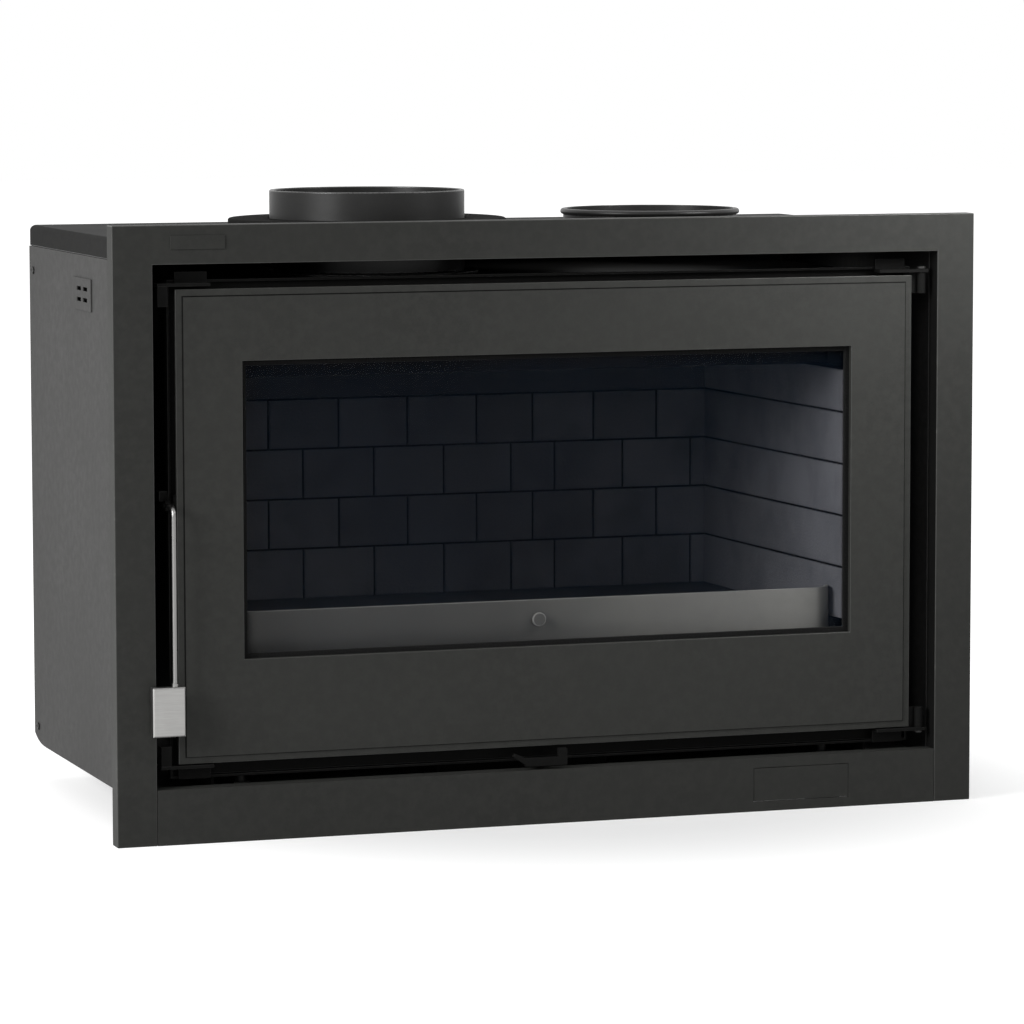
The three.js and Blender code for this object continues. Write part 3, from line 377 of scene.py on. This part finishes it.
# Each finish is a material for faces and, where it has one, another for rounded edges.
materials = {
    "front_paint": (
        paint("front_paint", FRONT, roughness=0.58, gloss=0.16),
        highlit_rubbed_edge("front_paint_edge", FRONT, roughness=0.4, gloss=0.4),
    ),
    "door_paint": (
        paint("door_paint", DOOR, roughness=0.58, gloss=0.16),
        highlit_rubbed_edge("door_paint_edge", DOOR, roughness=0.4, gloss=0.4),
    ),
    "pedestal_paint": (
        paint("pedestal_paint", PEDESTAL, roughness=0.85, gloss=0.02, grain=COARSE_GRAIN),
    ),
    "casing_paint": (
        paint("casing_paint", CASING, roughness=0.68, gloss=0.08, relief=0.00007),
        highlit_rubbed_edge("casing_paint_edge", CASING, roughness=0.5, gloss=0.2),
    ),
    "cover_paint": (
        paint("cover_paint", COVER, roughness=0.75, gloss=0.03),
        highlit_rubbed_edge("cover_paint_edge", COVER_EDGE_HIGHLIGHT, roughness=0.45, gloss=0.3),
    ),
    "cover_top_lit": (paint("cover_top_lit", COVER_TOP_LIT, roughness=0.72, gloss=0.05),),
    "dark_steel": (
        paint("dark_steel", BLACK, roughness=0.6, gloss=0.05, relief=0.00008),
        highlit_rubbed_edge("dark_steel_edge", BLACK_EDGE_HIGHLIGHT, roughness=0.45, gloss=0.15),
    ),
    "cast_iron": (
        paint("cast_iron", IRON, roughness=0.38, gloss=0.25, grain=COARSE_GRAIN),
        highlit_rubbed_edge("cast_iron_edge", IRON_EDGE_HIGHLIGHT, roughness=0.3, gloss=0.5),
    ),
    "lip_steel": (
        sheet_with_painted_light("lip_steel", LIP, roughness=0.45, gloss=0.3),
        highlit_rubbed_edge("lip_steel_edge", LIP_EDGE_HIGHLIGHT, roughness=0.42, gloss=0.3),
    ),
    "refractory": (refractory("refractory", BRICK, MORTAR, SOOT),),
    "stainless": (brushed_steel("stainless", STAINLESS, roughness=0.34, stretch=(60, 1, 1)),),
    "rod_steel": (brushed_steel("rod_steel", ROD, roughness=0.28, stretch=(1, 1, 60)),),
    "zinc": (black_zinc("zinc", ZINC, roughness=0.5),),
    "glass": (ceramic_glass("glass"),),
    "rope": (glass_fibre("rope", ROPE, pitch=0.0045),),
}


# ---------------------------------------------------------------- making pieces
# Pieces whose finish isn't their slot's
own_finish = {
    "door_front_plate": "door_paint",
    "flue_base_ring": "pedestal_paint",
    "handle_rod": "rod_steel",
}
# Pieces whose edges look like their faces
plain_edged = {
    "surround_bottom_bar",
    "bottom_bar_cover_plate",
    "badge_plate",
    "side_hatch_plate",
    "air_control_lever",
}


def dressed(piece, *replaced):
    """piece takes the first node's finish and body, and stands for all the nodes named."""
    first = replaced[0]
    own, *edge = materials[own_finish.get(first, slot_of[first])]
    piece.data.materials.append(own)
    if edge and first not in plain_edged:
        piece.data.materials.append(edge[0])
    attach(piece, body_of[first])
    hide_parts(*replaced)
    return piece


def linked(name, bm):
    """A smooth-shaded object from bm."""
    for face in bm.faces:
        face.smooth = True
    mesh = bpy.data.meshes.new(name)
    bm.to_mesh(mesh)
    bm.free()
    piece = bpy.data.objects.new(name, mesh)
    bpy.context.scene.collection.objects.link(piece)
    return piece


def applied(piece):
    """piece with its modifiers worked into its mesh."""
    seen = piece.evaluated_get(bpy.context.evaluated_depsgraph_get())
    mesh = bpy.data.meshes.new_from_object(seen)
    mesh.name = piece.name
    piece.modifiers.clear()
    piece.data = mesh
    return piece


def rounded(piece, width, segments=2):
    """piece with its sharp edges rounded. The narrow faces take the last of its materials."""
    edges = piece.modifiers.new("edges", "BEVEL")
    edges.width = width
    edges.segments = segments
    edges.limit_method = "ANGLE"
    edges.angle_limit = SHARP
    edges.material = len(piece.data.materials) - 1
    flatness = piece.modifiers.new("flatness", "WEIGHTED_NORMAL")
    flatness.mode = "FACE_AREA"
    flatness.weight = 100  # the largest faces alone set the shading
    return applied(piece)


def whole_faces(node):
    """A copy of a node's mesh whose facets are joined into whole faces."""
    bm = bmesh.new()
    bm.from_mesh(nodes[node].data)
    bmesh.ops.remove_doubles(bm, verts=bm.verts, dist=MERGE)
    bmesh.ops.dissolve_limit(bm, angle_limit=FLAT, verts=bm.verts, edges=bm.edges)
    return bm


def refined(node, width, segments=2):
    """The node's own shape with rounded edges."""
    return rounded(dressed(linked(f"{node}_rounded", whole_faces(node)), node), width, segments)


def turned(node, profile, centre, width, sides=160):
    """A closed profile of (radius, height) turned round an upright axis, for the node it replaces."""
    bm = bmesh.new()
    rings = []
    for radius, height in profile:
        turns = (2 * math.pi * i / sides for i in range(sides))
        rings.append([
            bm.verts.new((centre[0] + radius * math.cos(t), centre[1] + radius * math.sin(t), height))
            for t in turns
        ])
    for lower, upper in zip(rings, rings[1:] + rings[:1]):
        for i in range(sides):
            j = (i + 1) % sides
            bm.faces.new((lower[i], lower[j], upper[j], upper[i]))
    bmesh.ops.recalc_face_normals(bm, faces=bm.faces)
    rounded(dressed(linked(f"{node}_turned", bm), node), width, segments=3)


# ---------------------------------------------------------------- sheet steel and small parts
edge_widths = {
    "surround_frame": 0.0009,
    "surround_bottom_bar": 0.0003,
    "bottom_bar_cover_plate": 0.0002,
    "badge_plate": 0.0003,
    "door_front_plate": 0.0006,
    "door_back_frame": 0.0006,
    "door_glass": 0.0006,
    "glass_gasket": 0.0005,
    "glass_retainer_top": 0.0005,
    "glass_retainer_bottom": 0.0005,
    "door_hinge_arm_top": 0.0003,
    "door_hinge_arm_bottom": 0.0003,
    "hinge_bracket_top": 0.0004,
    "hinge_bracket_bottom": 0.0004,
    "spare_bracket_top": 0.0004,
    "spare_bracket_bottom": 0.0004,
    "hinge_pin_top": 0.0004,
    "hinge_pin_bottom": 0.0004,
    "handle_rod": 0.0003,
    "handle_pad": 0.0003,
    "handle_pivot_bracket": 0.0004,
    "latch_catch": 0.0006,
    "firebox_face_frame": 0.0005,
    "log_retainer": 0.0006,
    "casing_left_panel": 0.0003,
    "casing_right_panel": 0.0003,
    "casing_rear_panel": 0.0003,
    "casing_top_cover": 0.0008,
    "casing_base_panel": 0.0004,
    "side_hatch_plate": 0.0003,
    "air_box": 0.0004,
    "air_slide_plate": 0.0004,
    "air_control_lever": 0.0006,
}
for node, width in edge_widths.items():
    refined(node, width)


def repainted(node, finish, chosen):
    """Gives another finish to those faces of a rounded node for which chosen(face) holds; most calls here
    paint shade or light.
    """
    piece = bpy.data.objects[f"{node}_rounded"]
    piece.data.materials.append(materials[finish][0])
    for face in piece.data.polygons:
        if chosen(face):
            face.material_index = len(piece.data.materials) - 1


ROD_BARE = -0.2135  # the rod is bare steel in front of this Y and blackened behind it
FOLD_INSET = 0.025  # past the surround's outer folds, but short of its opening
FOLD_DEPTH = 0.0015  # behind the surround's front face
FLANGE_INSET = 0.001  # inwards of a side panel's outer face
FLANGE_DEPTH = 0.01  # behind its front
RIM_STEP = (0.0055, 0.0105)  # the step inside the door's rim lies between these, from its outer edge
UPWARDS = 0.9  # a face whose normal has this much Z or more lies on top
FOOT_EDGE = 0.0005

surround_low, surround_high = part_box("surround_frame")
door_low, door_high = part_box("door_front_plate")
panel_low, panel_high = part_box("casing_right_panel")


def on_inner_fold(face):
    """Whether a face is on the fold round the surround's opening, behind its front face."""
    at = face.center
    inwards = abs(at.x) < surround_high.x - FOLD_INSET and at.z < surround_high.z - FOLD_INSET
    return inwards and at.y > surround_low.y + FOLD_DEPTH


def on_rim_step(face):
    """Whether a face is on the step inside the door's rim, which is painted dark as the shade in that
    groove.
    """
    at = face.center
    inset = min(at.x - door_low.x, door_high.x - at.x, at.z - door_low.z, door_high.z - at.z)
    return RIM_STEP[0] < inset < RIM_STEP[1]


def on_front_flange(face):
    """Whether a face is on the inward flange at the front of a casing side panel."""
    at = face.center
    return abs(at.x) < panel_high.x - FLANGE_INSET and at.y < panel_low.y + FLANGE_DEPTH


# painted shade: the casing panels' front flanges, seen in the gap round the door, are painted black
repainted("casing_left_panel", "dark_steel", on_front_flange)
repainted("casing_right_panel", "dark_steel", on_front_flange)
repainted("handle_rod", "dark_steel", lambda face: face.center.y > ROD_BARE)
# painted shade: the fold inside the surround's opening is painted black
repainted("surround_frame", "dark_steel", on_inner_fold)
# painted shade: the step inside the door's rim is painted black
repainted("door_front_plate", "dark_steel", on_rim_step)
# painted light: the cover's upward faces take a lighter paint than its sides
repainted("casing_top_cover", "cover_top_lit", lambda face: face.normal.z > UPWARDS)

for node in nodes:
    if node.startswith(("levelling_foot", "foot_nut")):
        refined(node, FOOT_EDGE)


# ---------------------------------------------------------------- outlets
def ring_facts(node):
    """Centre, outer radius, base and top of a round node."""
    low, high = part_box(node)
    return ((low.x + high.x) / 2, (low.y + high.y) / 2), (high.x - low.x) / 2, low.z, high.z


FLUE_FLANGE = 0.014  # from the collar's outside to its flange's edge
FLUE_WALL = 0.004
FLANGE_SHEET = 0.004
FLUE_EDGE = 0.0011
PLAY = 0.0006  # between the collar and the pedestal round it
PEDESTAL_EDGE = 0.002
AIR_FLANGE = 0.012
AIR_WALL = 0.003
AIR_FLANGE_SHEET = 0.002
AIR_EDGE = 0.0006
ROLL = 0.003  # radius of the rolled rim
ARC_STEPS = 8


def flue_collar():
    """The collar. Returns its outer radius."""
    centre, reach, base, top = ring_facts("flue_collar")
    outer = reach - FLUE_FLANGE
    inner = outer - FLUE_WALL
    turned("flue_collar", [
        (inner, base),
        (reach, base),
        (reach, base + FLANGE_SHEET),
        (outer, base + FLANGE_SHEET),
        (outer, top),
        (inner, top),
    ], centre, FLUE_EDGE)
    return outer


def flue_base_ring(collar_radius):
    centre, reach, base, top = ring_facts("flue_base_ring")
    inner = collar_radius + PLAY
    profile = [(inner, base), (reach, base), (reach, top), (inner, top)]
    turned("flue_base_ring", profile, centre, PEDESTAL_EDGE)


def hot_air_collar():
    centre, reach, base, top = ring_facts("hot_air_collar")
    outer = reach - AIR_FLANGE
    inner = outer - AIR_WALL
    middle = top - ROLL
    turns = [math.pi * (i / ARC_STEPS - 0.5) for i in range(ARC_STEPS + 1)]
    roll = [(outer + ROLL * math.cos(t), middle + ROLL * math.sin(t)) for t in turns]
    turned("hot_air_collar", [
        (inner, base),
        (reach, base),
        (reach, base + AIR_FLANGE_SHEET),
        (outer, base + AIR_FLANGE_SHEET),
        *roll,
        (inner, top),
    ], centre, AIR_EDGE)


flue_base_ring(flue_collar())
hot_air_collar()


# ---------------------------------------------------------------- screws and knob
def cross_cutter(centre, reach, width, depth):
    """Two crossed bars along Y and Z that sink depth into a head which faces along X."""
    bm = bmesh.new()
    for across, along in ((reach, width), (width, reach)):
        size = Matrix.Diagonal((depth, across, along, 1))
        bmesh.ops.create_cube(bm, size=2, matrix=Matrix.Translation(centre) @ size)
    return linked("cutter", bm)


def carve(piece, cutter):
    """Cuts cutter out of piece and throws it away."""
    cutting = piece.modifiers.new("cut", "BOOLEAN")
    cutting.operation = "DIFFERENCE"
    cutting.solver = "EXACT"
    cutting.use_self = True
    cutting.object = cutter
    applied(piece)
    bpy.data.objects.remove(cutter)


CROSS_REACH = 0.0023
CROSS_WIDTH = 0.00045
CROSS_DEPTH = 0.0009
SCREW_EDGE = 0.0006
KNOB_EDGE = 0.0012

for side, outward in (("left", -1), ("right", 1)):
    for level in ("top", "bottom"):
        node = f"casing_screw_{side}_{level}"
        low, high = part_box(node)
        head = (low + high) / 2
        head.x = low.x if outward < 0 else high.x
        screw = refined(node, SCREW_EDGE, segments=3)
        carve(screw, cross_cutter(head, CROSS_REACH, CROSS_WIDTH, CROSS_DEPTH))

refined("retainer_knob", KNOB_EDGE, segments=3)


# ---------------------------------------------------------------- brick lining
COURSE = 0.053
COURSES = 4
JOINT = 0.0022
JOINT_DEPTH = 0.0025
JOINT_OVERLAP = 0.0006  # how far a brick reaches into the body behind the joints
BRICK_EDGE = 0.0016
EDGE_STATIONS = (0, 0.12, 0.4, 1)  # places across a brick's rounded end, as shares of it
BRICK_GRID = 0.0065
ROUGHNESS_DEPTH = 0.0005  # how far a brick's face wanders below its flat
ROUGHNESS_SCALE = 60  # waves in a metre
ROUGHNESS_OCTAVES = (0.9, 2.1, 4)  # how each finer wave fades, how much finer it is, and their number
CHIP_SCALE = 170
CHIP_THRESHOLD = 0.35
CHIP_REACH = 0.004  # how far from a brick's end it may be chipped
CHIP_DEPTH = 0.0012
LEAN = 0.013  # how far each side wall leans in towards the rear
BAFFLE_EDGE = 0.002

# Where the rear wall's upright joints stand in the courses of odd and of even number, from its left corner
ODD_COURSE_JOINTS = (0.159, 0.2375, 0.3155, 0.3915, 0.441, 0.519, 0.5975)
EVEN_COURSE_JOINTS = (0.121, 0.1985, 0.275, 0.3525, 0.416, 0.4855, 0.558)

# Tones for the refractory finish
REAR_TONES = (0.55, 0.74)
SHADED_BAND_TONES = (0.17, 0.19)  # the plain band above the courses, painted darker as shade
# the side walls, painted lighter than the rear wall as painted light
LIT_SIDE_TONES = (0.74, 0.86)
HEARTH_TONE = 0.025

hearth_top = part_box("hearth_slab")[1].z

random.seed(11)


def stations(length):
    """Places along a brick, close together at its rounded ends."""
    ends = [share * BRICK_EDGE for share in EDGE_STATIONS]
    count = max(1, round((length - 2 * BRICK_EDGE) / BRICK_GRID))
    step = (length - 2 * BRICK_EDGE) / count
    middle = [BRICK_EDGE + i * step for i in range(1, count)]
    return ends + middle + [length - e for e in reversed(ends)]


def sunk(distance):
    """How deep a rounded edge lies below the face, at a distance from the brick's end."""
    if distance >= BRICK_EDGE:
        return 0
    return BRICK_EDGE - math.sqrt(BRICK_EDGE**2 - (BRICK_EDGE - distance) ** 2)


def brick(bm, tone, value, place, u_span, v_span, back):
    """A brick between two spans of a wall. place gives a point from (u, v, depth)."""
    us = [u_span[0] + u for u in stations(u_span[1] - u_span[0])]
    vs = [v_span[0] + v for v in stations(v_span[1] - v_span[0])]
    own = random.uniform(-50, 50)
    grid = []
    for u in us:
        column = []
        for v in vs:
            edge = min(u - u_span[0], u_span[1] - u, v - v_span[0], v_span[1] - v)
            at = Vector((u, v, own))
            rough = noise.fractal(at * ROUGHNESS_SCALE, *ROUGHNESS_OCTAVES)
            depth = sunk(max(0, edge)) + ROUGHNESS_DEPTH * (0.5 + 0.5 * rough)
            if edge < CHIP_REACH:
                depth += CHIP_DEPTH * max(0, noise.noise(at * CHIP_SCALE) - CHIP_THRESHOLD)
            column.append(bm.verts.new(place(u, v, max(0, depth))))
        grid.append(column)
    faces = [
        bm.faces.new((grid[i][j], grid[i + 1][j], grid[i + 1][j + 1], grid[i][j + 1]))
        for i in range(len(us) - 1)
        for j in range(len(vs) - 1)
    ]
    last_u, last_v = len(us) - 1, len(vs) - 1
    rim = [(i, 0) for i in range(last_u)] + [(last_u, j) for j in range(last_v)]
    rim += [(i, last_v) for i in range(last_u, 0, -1)] + [(0, j) for j in range(last_v, 0, -1)]
    behind = [bm.verts.new(place(us[i], vs[j], back)) for i, j in rim]
    for k, (i, j) in enumerate(rim):
        m = (k + 1) % len(rim)
        after_i, after_j = rim[m]
        faces.append(bm.faces.new((grid[after_i][after_j], grid[i][j], behind[k], behind[m])))
    faces.append(bm.faces.new(list(reversed(behind))))
    for face in faces:
        face[tone] = value


def slab(bm, tone, outline, low, high):
    """An upright prism over a plan, for the mortar and the body behind the bricks."""
    base = [bm.verts.new((x, y, low)) for x, y in outline]
    lid = [bm.verts.new((x, y, high)) for x, y in outline]
    faces = [bm.faces.new(list(reversed(base))), bm.faces.new(lid)]
    for i in range(len(outline)):
        j = (i + 1) % len(outline)
        faces.append(bm.faces.new((base[i], base[j], lid[j], lid[i])))
    for face in faces:
        face[tone] = 0


def wall_rows(low, high):
    """Each course's number and span, and the plain band above them."""
    lines = [low] + [hearth_top + n * COURSE for n in range(1, COURSES + 1)] + [high]
    return [(n + 1, lines[n], lines[n + 1]) for n in range(len(lines) - 1)]


def shrunk(span, ends):
    """span less half a joint at each end that has one."""
    return (span[0] + (JOINT / 2 if ends[0] else 0), span[1] - (JOINT / 2 if ends[1] else 0))


def masonry(node, place, length, low, high, joints_of, tones, body_outline):
    """A wall of courses with a plain band above them. tones are the range for each."""
    bm = bmesh.new()
    tone = bm.faces.layers.float.new("tone")
    rows = wall_rows(low, high)
    for number, base, top in rows:
        stops = [0, *joints_of(number), length]
        for i in range(len(stops) - 1):
            u = shrunk((stops[i], stops[i + 1]), (i > 0, i < len(stops) - 2))
            v = shrunk((base, top), (number > 1, number < len(rows)))
            value = random.uniform(*tones[number > COURSES])
            brick(bm, tone, value, place, u, v, JOINT_DEPTH + JOINT_OVERLAP)
    slab(bm, tone, body_outline, low, high)
    bmesh.ops.recalc_face_normals(bm, faces=bm.faces)
    dressed(linked(f"{node}_bricks", bm), node)


def rear_masonry():
    low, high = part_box("lining_rear")
    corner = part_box("lining_left")[1].x  # where the leaning side wall meets the rear wall
    shift = corner - low.x

    def joints_of(number):
        if number > COURSES:
            return []
        return [shift + joint for joint in (ODD_COURSE_JOINTS if number % 2 else EVEN_COURSE_JOINTS)]

    def place(u, v, depth):
        return (low.x + u, low.y + depth, v)

    front = low.y + JOINT_DEPTH
    outline = [(low.x, front), (high.x, front), (high.x, high.y), (low.x, high.y)]
    tones = REAR_TONES, SHADED_BAND_TONES
    masonry("lining_rear", place, high.x - low.x, low.z, high.z, joints_of, tones, outline)


def side_masonry(side):
    """The wall at the left for side -1 and at the right for side 1, from front to rear."""
    node = "lining_left" if side < 0 else "lining_right"
    low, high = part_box(node)
    outer = low.x if side < 0 else high.x
    rear_inner = high.x if side < 0 else low.x
    front_inner = rear_inner + side * LEAN
    start = Vector((front_inner, low.y, 0))
    along = Vector((rear_inner, high.y, 0)) - start
    length = along.length
    along.normalize()
    inward = Vector((side * along.y, -side * along.x, 0))

    def place(u, v, depth):
        return start + along * u + inward * depth + Vector((0, 0, v))

    first, last = place(0, 0, JOINT_DEPTH), place(length, 0, JOINT_DEPTH)
    outline = [(outer, low.y), (first.x, low.y), (last.x, high.y), (outer, high.y)]
    tones = LIT_SIDE_TONES, LIT_SIDE_TONES
    masonry(node, place, length, low.z, high.z, lambda _: [], tones, outline)


def floor_slab():
    low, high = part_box("hearth_slab")
    bm = bmesh.new()
    tone = bm.faces.layers.float.new("tone")

    def place(u, v, depth):
        return (low.x + u, low.y + v, high.z - depth)

    thickness = high.z - low.z
    brick(bm, tone, HEARTH_TONE, place, (0, high.x - low.x), (0, high.y - low.y), thickness)
    bmesh.ops.recalc_face_normals(bm, faces=bm.faces)
    dressed(linked("hearth_slab_cast", bm), "hearth_slab")


rear_masonry()
side_masonry(-1)
side_masonry(1)
floor_slab()
refined("baffle_plate", BAFFLE_EDGE)


# ---------------------------------------------------------------- rope seal
ROPE_STEP = 0.0022
ROPE_SIDES = 14
ROPE_CORNER = 0.016
BRAID_PITCH = 0.011
BRAID_DEPTH = 0.00045
STRANDS = 3  # that run each way round the rope


def rounded_loop(low, high, radius, step):
    """Points (x, z) round a rectangle with rounded corners, anticlockwise seen from the front."""
    corners = [
        ((high[0] - radius, low[1] + radius), -90),
        ((high[0] - radius, high[1] - radius), 0),
        ((low[0] + radius, high[1] - radius), 90),
        ((low[0] + radius, low[1] + radius), 180),
    ]
    points = []
    for k, (centre, start) in enumerate(corners):
        turns = [math.radians(start + 90 * i / ARC_STEPS) for i in range(ARC_STEPS + 1)]
        arc = [(centre[0] + radius * math.cos(t), centre[1] + radius * math.sin(t)) for t in turns]
        points += arc
        following, angle = corners[(k + 1) % 4]
        t = math.radians(angle)
        end = (following[0] + radius * math.cos(t), following[1] + radius * math.sin(t))
        run = math.dist(arc[-1], end)
        count = max(1, round(run / step))
        for i in range(1, count):
            share = i / count
            points.append(tuple(a + (b - a) * share for a, b in zip(arc[-1], end)))
    return points


def rope_seal():
    low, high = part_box("door_rope_seal")
    radius = (high.y - low.y) / 2
    middle = (low.y + high.y) / 2
    path = rounded_loop(
        (low.x + radius, low.z + radius), (high.x - radius, high.z - radius), ROPE_CORNER, ROPE_STEP
    )
    bm = bmesh.new()
    rings = []
    travelled = 0
    for k, (x, z) in enumerate(path):
        before, after = path[k - 1], path[(k + 1) % len(path)]
        heading = Vector((after[0] - before[0], 0, after[1] - before[1])).normalized()
        outward = Vector((heading.z, 0, -heading.x))
        if k:
            travelled += math.dist(path[k - 1], (x, z))
        ring = []
        for i in range(ROPE_SIDES):
            turn = 2 * math.pi * i / ROPE_SIDES
            phase = 2 * math.pi * travelled / BRAID_PITCH
            braid = max(math.sin(STRANDS * turn + phase), math.sin(STRANDS * turn - phase))
            r = radius - BRAID_DEPTH * (1 - braid)
            offset = outward * (r * math.cos(turn)) + Vector((0, r * math.sin(turn), 0))
            ring.append(bm.verts.new(Vector((x, middle, z)) + offset))
        rings.append(ring)
    for ring, following in zip(rings, rings[1:] + rings[:1]):
        for i in range(ROPE_SIDES):
            j = (i + 1) % ROPE_SIDES
            bm.faces.new((ring[i], ring[j], following[j], following[i]))
    bmesh.ops.recalc_face_normals(bm, faces=bm.faces)
    dressed(linked("door_rope_seal_braid", bm), "door_rope_seal")


rope_seal()


# ---------------------------------------------------------------- what stays as it is in the frame
for node, piece in nodes.items():
    if not piece.hide_render:
        piece.data.materials.clear()
        piece.data.materials.append(materials[slot_of[node]][0])


# ---------------------------------------------------------------- studio
FILL = 0.3  # the room's soft light from all sides
FLOOR_SIZE = 20
FLOOR_TONE = 0.55
LIFT_NEAR = 0.41  # what the floor adds to its own lit tone, for the camera and in reflections; less near the object, a painted shadow
LIFT_FAR = 1
PAINTED_SHADOW_REACH = (0.25, 0.8)  # distances over which one becomes the other, and over which the painted shadow fades
PAINTED_SHADOW_CENTRE = (0.06, 0, 0)  # where they are measured from; right of the middle, so the painted shadow is darker on the right


def seen_directly(tree):
    """1 for rays from the camera, reflections and glass, and 0 for rays that light the object."""
    path = tree.nodes.new("ShaderNodeLightPath")
    total = None
    for name in ("Is Camera Ray", "Is Glossy Ray", "Is Transmission Ray"):
        if total is None:
            total = path.outputs[name]
            continue
        either = tree.nodes.new("ShaderNodeMath")
        either.operation = "MAXIMUM"
        tree.links.new(total, either.inputs[0])
        tree.links.new(path.outputs[name], either.inputs[1])
        total = either.outputs["Value"]
    return total


def make_world():
    world = bpy.data.worlds.new("studio")
    world.use_nodes = True
    tree = world.node_tree
    tree.nodes.clear()
    output = tree.nodes.new("ShaderNodeOutputWorld")
    fill = tree.nodes.new("ShaderNodeBackground")
    fill.inputs["Color"].default_value = (1, 1, 1, 1)
    fill.inputs["Strength"].default_value = FILL
    white = tree.nodes.new("ShaderNodeBackground")
    white.inputs["Color"].default_value = (1, 1, 1, 1)
    white.inputs["Strength"].default_value = 1
    mix = tree.nodes.new("ShaderNodeMixShader")
    tree.links.new(seen_directly(tree), mix.inputs["Fac"])
    tree.links.new(fill.outputs["Background"], mix.inputs[1])
    tree.links.new(white.outputs["Background"], mix.inputs[2])
    tree.links.new(mix.outputs["Shader"], output.inputs["Surface"])
    bpy.context.scene.world = world


def make_floor():
    bm = bmesh.new()
    bmesh.ops.create_grid(bm, x_segments=1, y_segments=1, size=FLOOR_SIZE)
    floor = linked("floor", bm)
    material = bpy.data.materials.new("floor")
    material.use_nodes = True
    tree = material.node_tree
    tree.nodes.clear()
    output = tree.nodes.new("ShaderNodeOutputMaterial")
    matt = tree.nodes.new("ShaderNodeBsdfDiffuse")
    matt.inputs["Color"].default_value = (FLOOR_TONE, FLOOR_TONE, FLOOR_TONE, 1)
    lift = tree.nodes.new("ShaderNodeEmission")
    lift.inputs["Color"].default_value = (1, 1, 1, 1)
    place = tree.nodes.new("ShaderNodeTexCoord").outputs["Object"]
    distance = tree.nodes.new("ShaderNodeVectorMath")
    distance.operation = "DISTANCE"
    distance.inputs[1].default_value = PAINTED_SHADOW_CENTRE
    tree.links.new(place, distance.inputs[0])
    reach = tree.nodes.new("ShaderNodeMapRange")
    reach.interpolation_type = "SMOOTHSTEP"
    tree.links.new(distance.outputs["Value"], reach.inputs["Value"])
    reach.inputs["From Min"].default_value, reach.inputs["From Max"].default_value = PAINTED_SHADOW_REACH
    reach.inputs["To Min"].default_value = LIFT_NEAR
    reach.inputs["To Max"].default_value = LIFT_FAR
    strength = tree.nodes.new("ShaderNodeMath")
    strength.operation = "MULTIPLY"
    tree.links.new(reach.outputs["Result"], strength.inputs[1])
    tree.links.new(seen_directly(tree), strength.inputs[0])
    tree.links.new(strength.outputs["Value"], lift.inputs["Strength"])
    both = tree.nodes.new("ShaderNodeAddShader")
    tree.links.new(matt.outputs["BSDF"], both.inputs[0])
    tree.links.new(lift.outputs["Emission"], both.inputs[1])
    tree.links.new(both.outputs["Shader"], output.inputs["Surface"])
    floor.data.materials.append(material)


def softbox(name, place, target, size, power, spread=180):
    """An area lamp that shines from place to target. spread is its cone in degrees."""
    data = bpy.data.lights.new(name, "AREA")
    data.shape = "RECTANGLE"
    data.size, data.size_y = size
    data.energy = power
    data.spread = math.radians(spread)
    lamp = bpy.data.objects.new(name, data)
    lamp.location = place
    aim = Vector(target) - Vector(place)
    lamp.rotation_euler = aim.to_track_quat("-Z", "Y").to_euler()
    lamp.visible_camera = False
    bpy.context.scene.collection.objects.link(lamp)


CAMERA_PLACE = (-1.5614, -4.66903, 0.7869)
CAMERA_YAW = 18.8095  # degrees from +Y towards +X
CAMERA_PITCH = 5.7502  # degrees down
CAMERA_ROLL = -0.0998
CAMERA_LENS = 168.005  # both in millimetres
CAMERA_SENSOR = 36


def make_camera():
    data = bpy.data.cameras.new("camera")
    data.sensor_width = CAMERA_SENSOR
    data.lens = CAMERA_LENS
    yaw, pitch, roll = map(math.radians, (CAMERA_YAW, CAMERA_PITCH, CAMERA_ROLL))
    ahead = Vector((math.sin(yaw) * math.cos(pitch), math.cos(yaw) * math.cos(pitch), -math.sin(pitch)))
    right = Vector((math.cos(yaw), -math.sin(yaw), 0))
    up = right.cross(ahead)
    rolled_right = right * math.cos(roll) + up * math.sin(roll)
    rolled_up = up * math.cos(roll) - right * math.sin(roll)
    turn = Matrix((rolled_right, rolled_up, -ahead)).transposed()
    camera = bpy.data.objects.new("camera", data)
    camera.matrix_world = Matrix.Translation(CAMERA_PLACE) @ turn.to_4x4()
    bpy.context.scene.collection.objects.link(camera)
    bpy.context.scene.camera = camera


make_world()
make_floor()
softbox("key_left", (-2.9, -1.2, 1.4), target=(-0.1, -0.1, 0.3), size=(1.3, 1.3), power=86)
softbox("upper_right", (0.66, -0.62, 0.92), (0.44, -0.22, 0.64), (0.35, 0.3), power=1.6, spread=80)
softbox("near_camera", (-1.1, -3.0, 1.6), target=(-0.1, 0.0, 0.6), size=(0.2, 1.0), power=7)
softbox("overhead", (0.2, 0.6, 3.0), target=(0.0, 0.0, 0.4), size=(2.5, 1.5), power=15)
make_camera()
bpy.context.scene.view_settings.view_transform = "Standard"
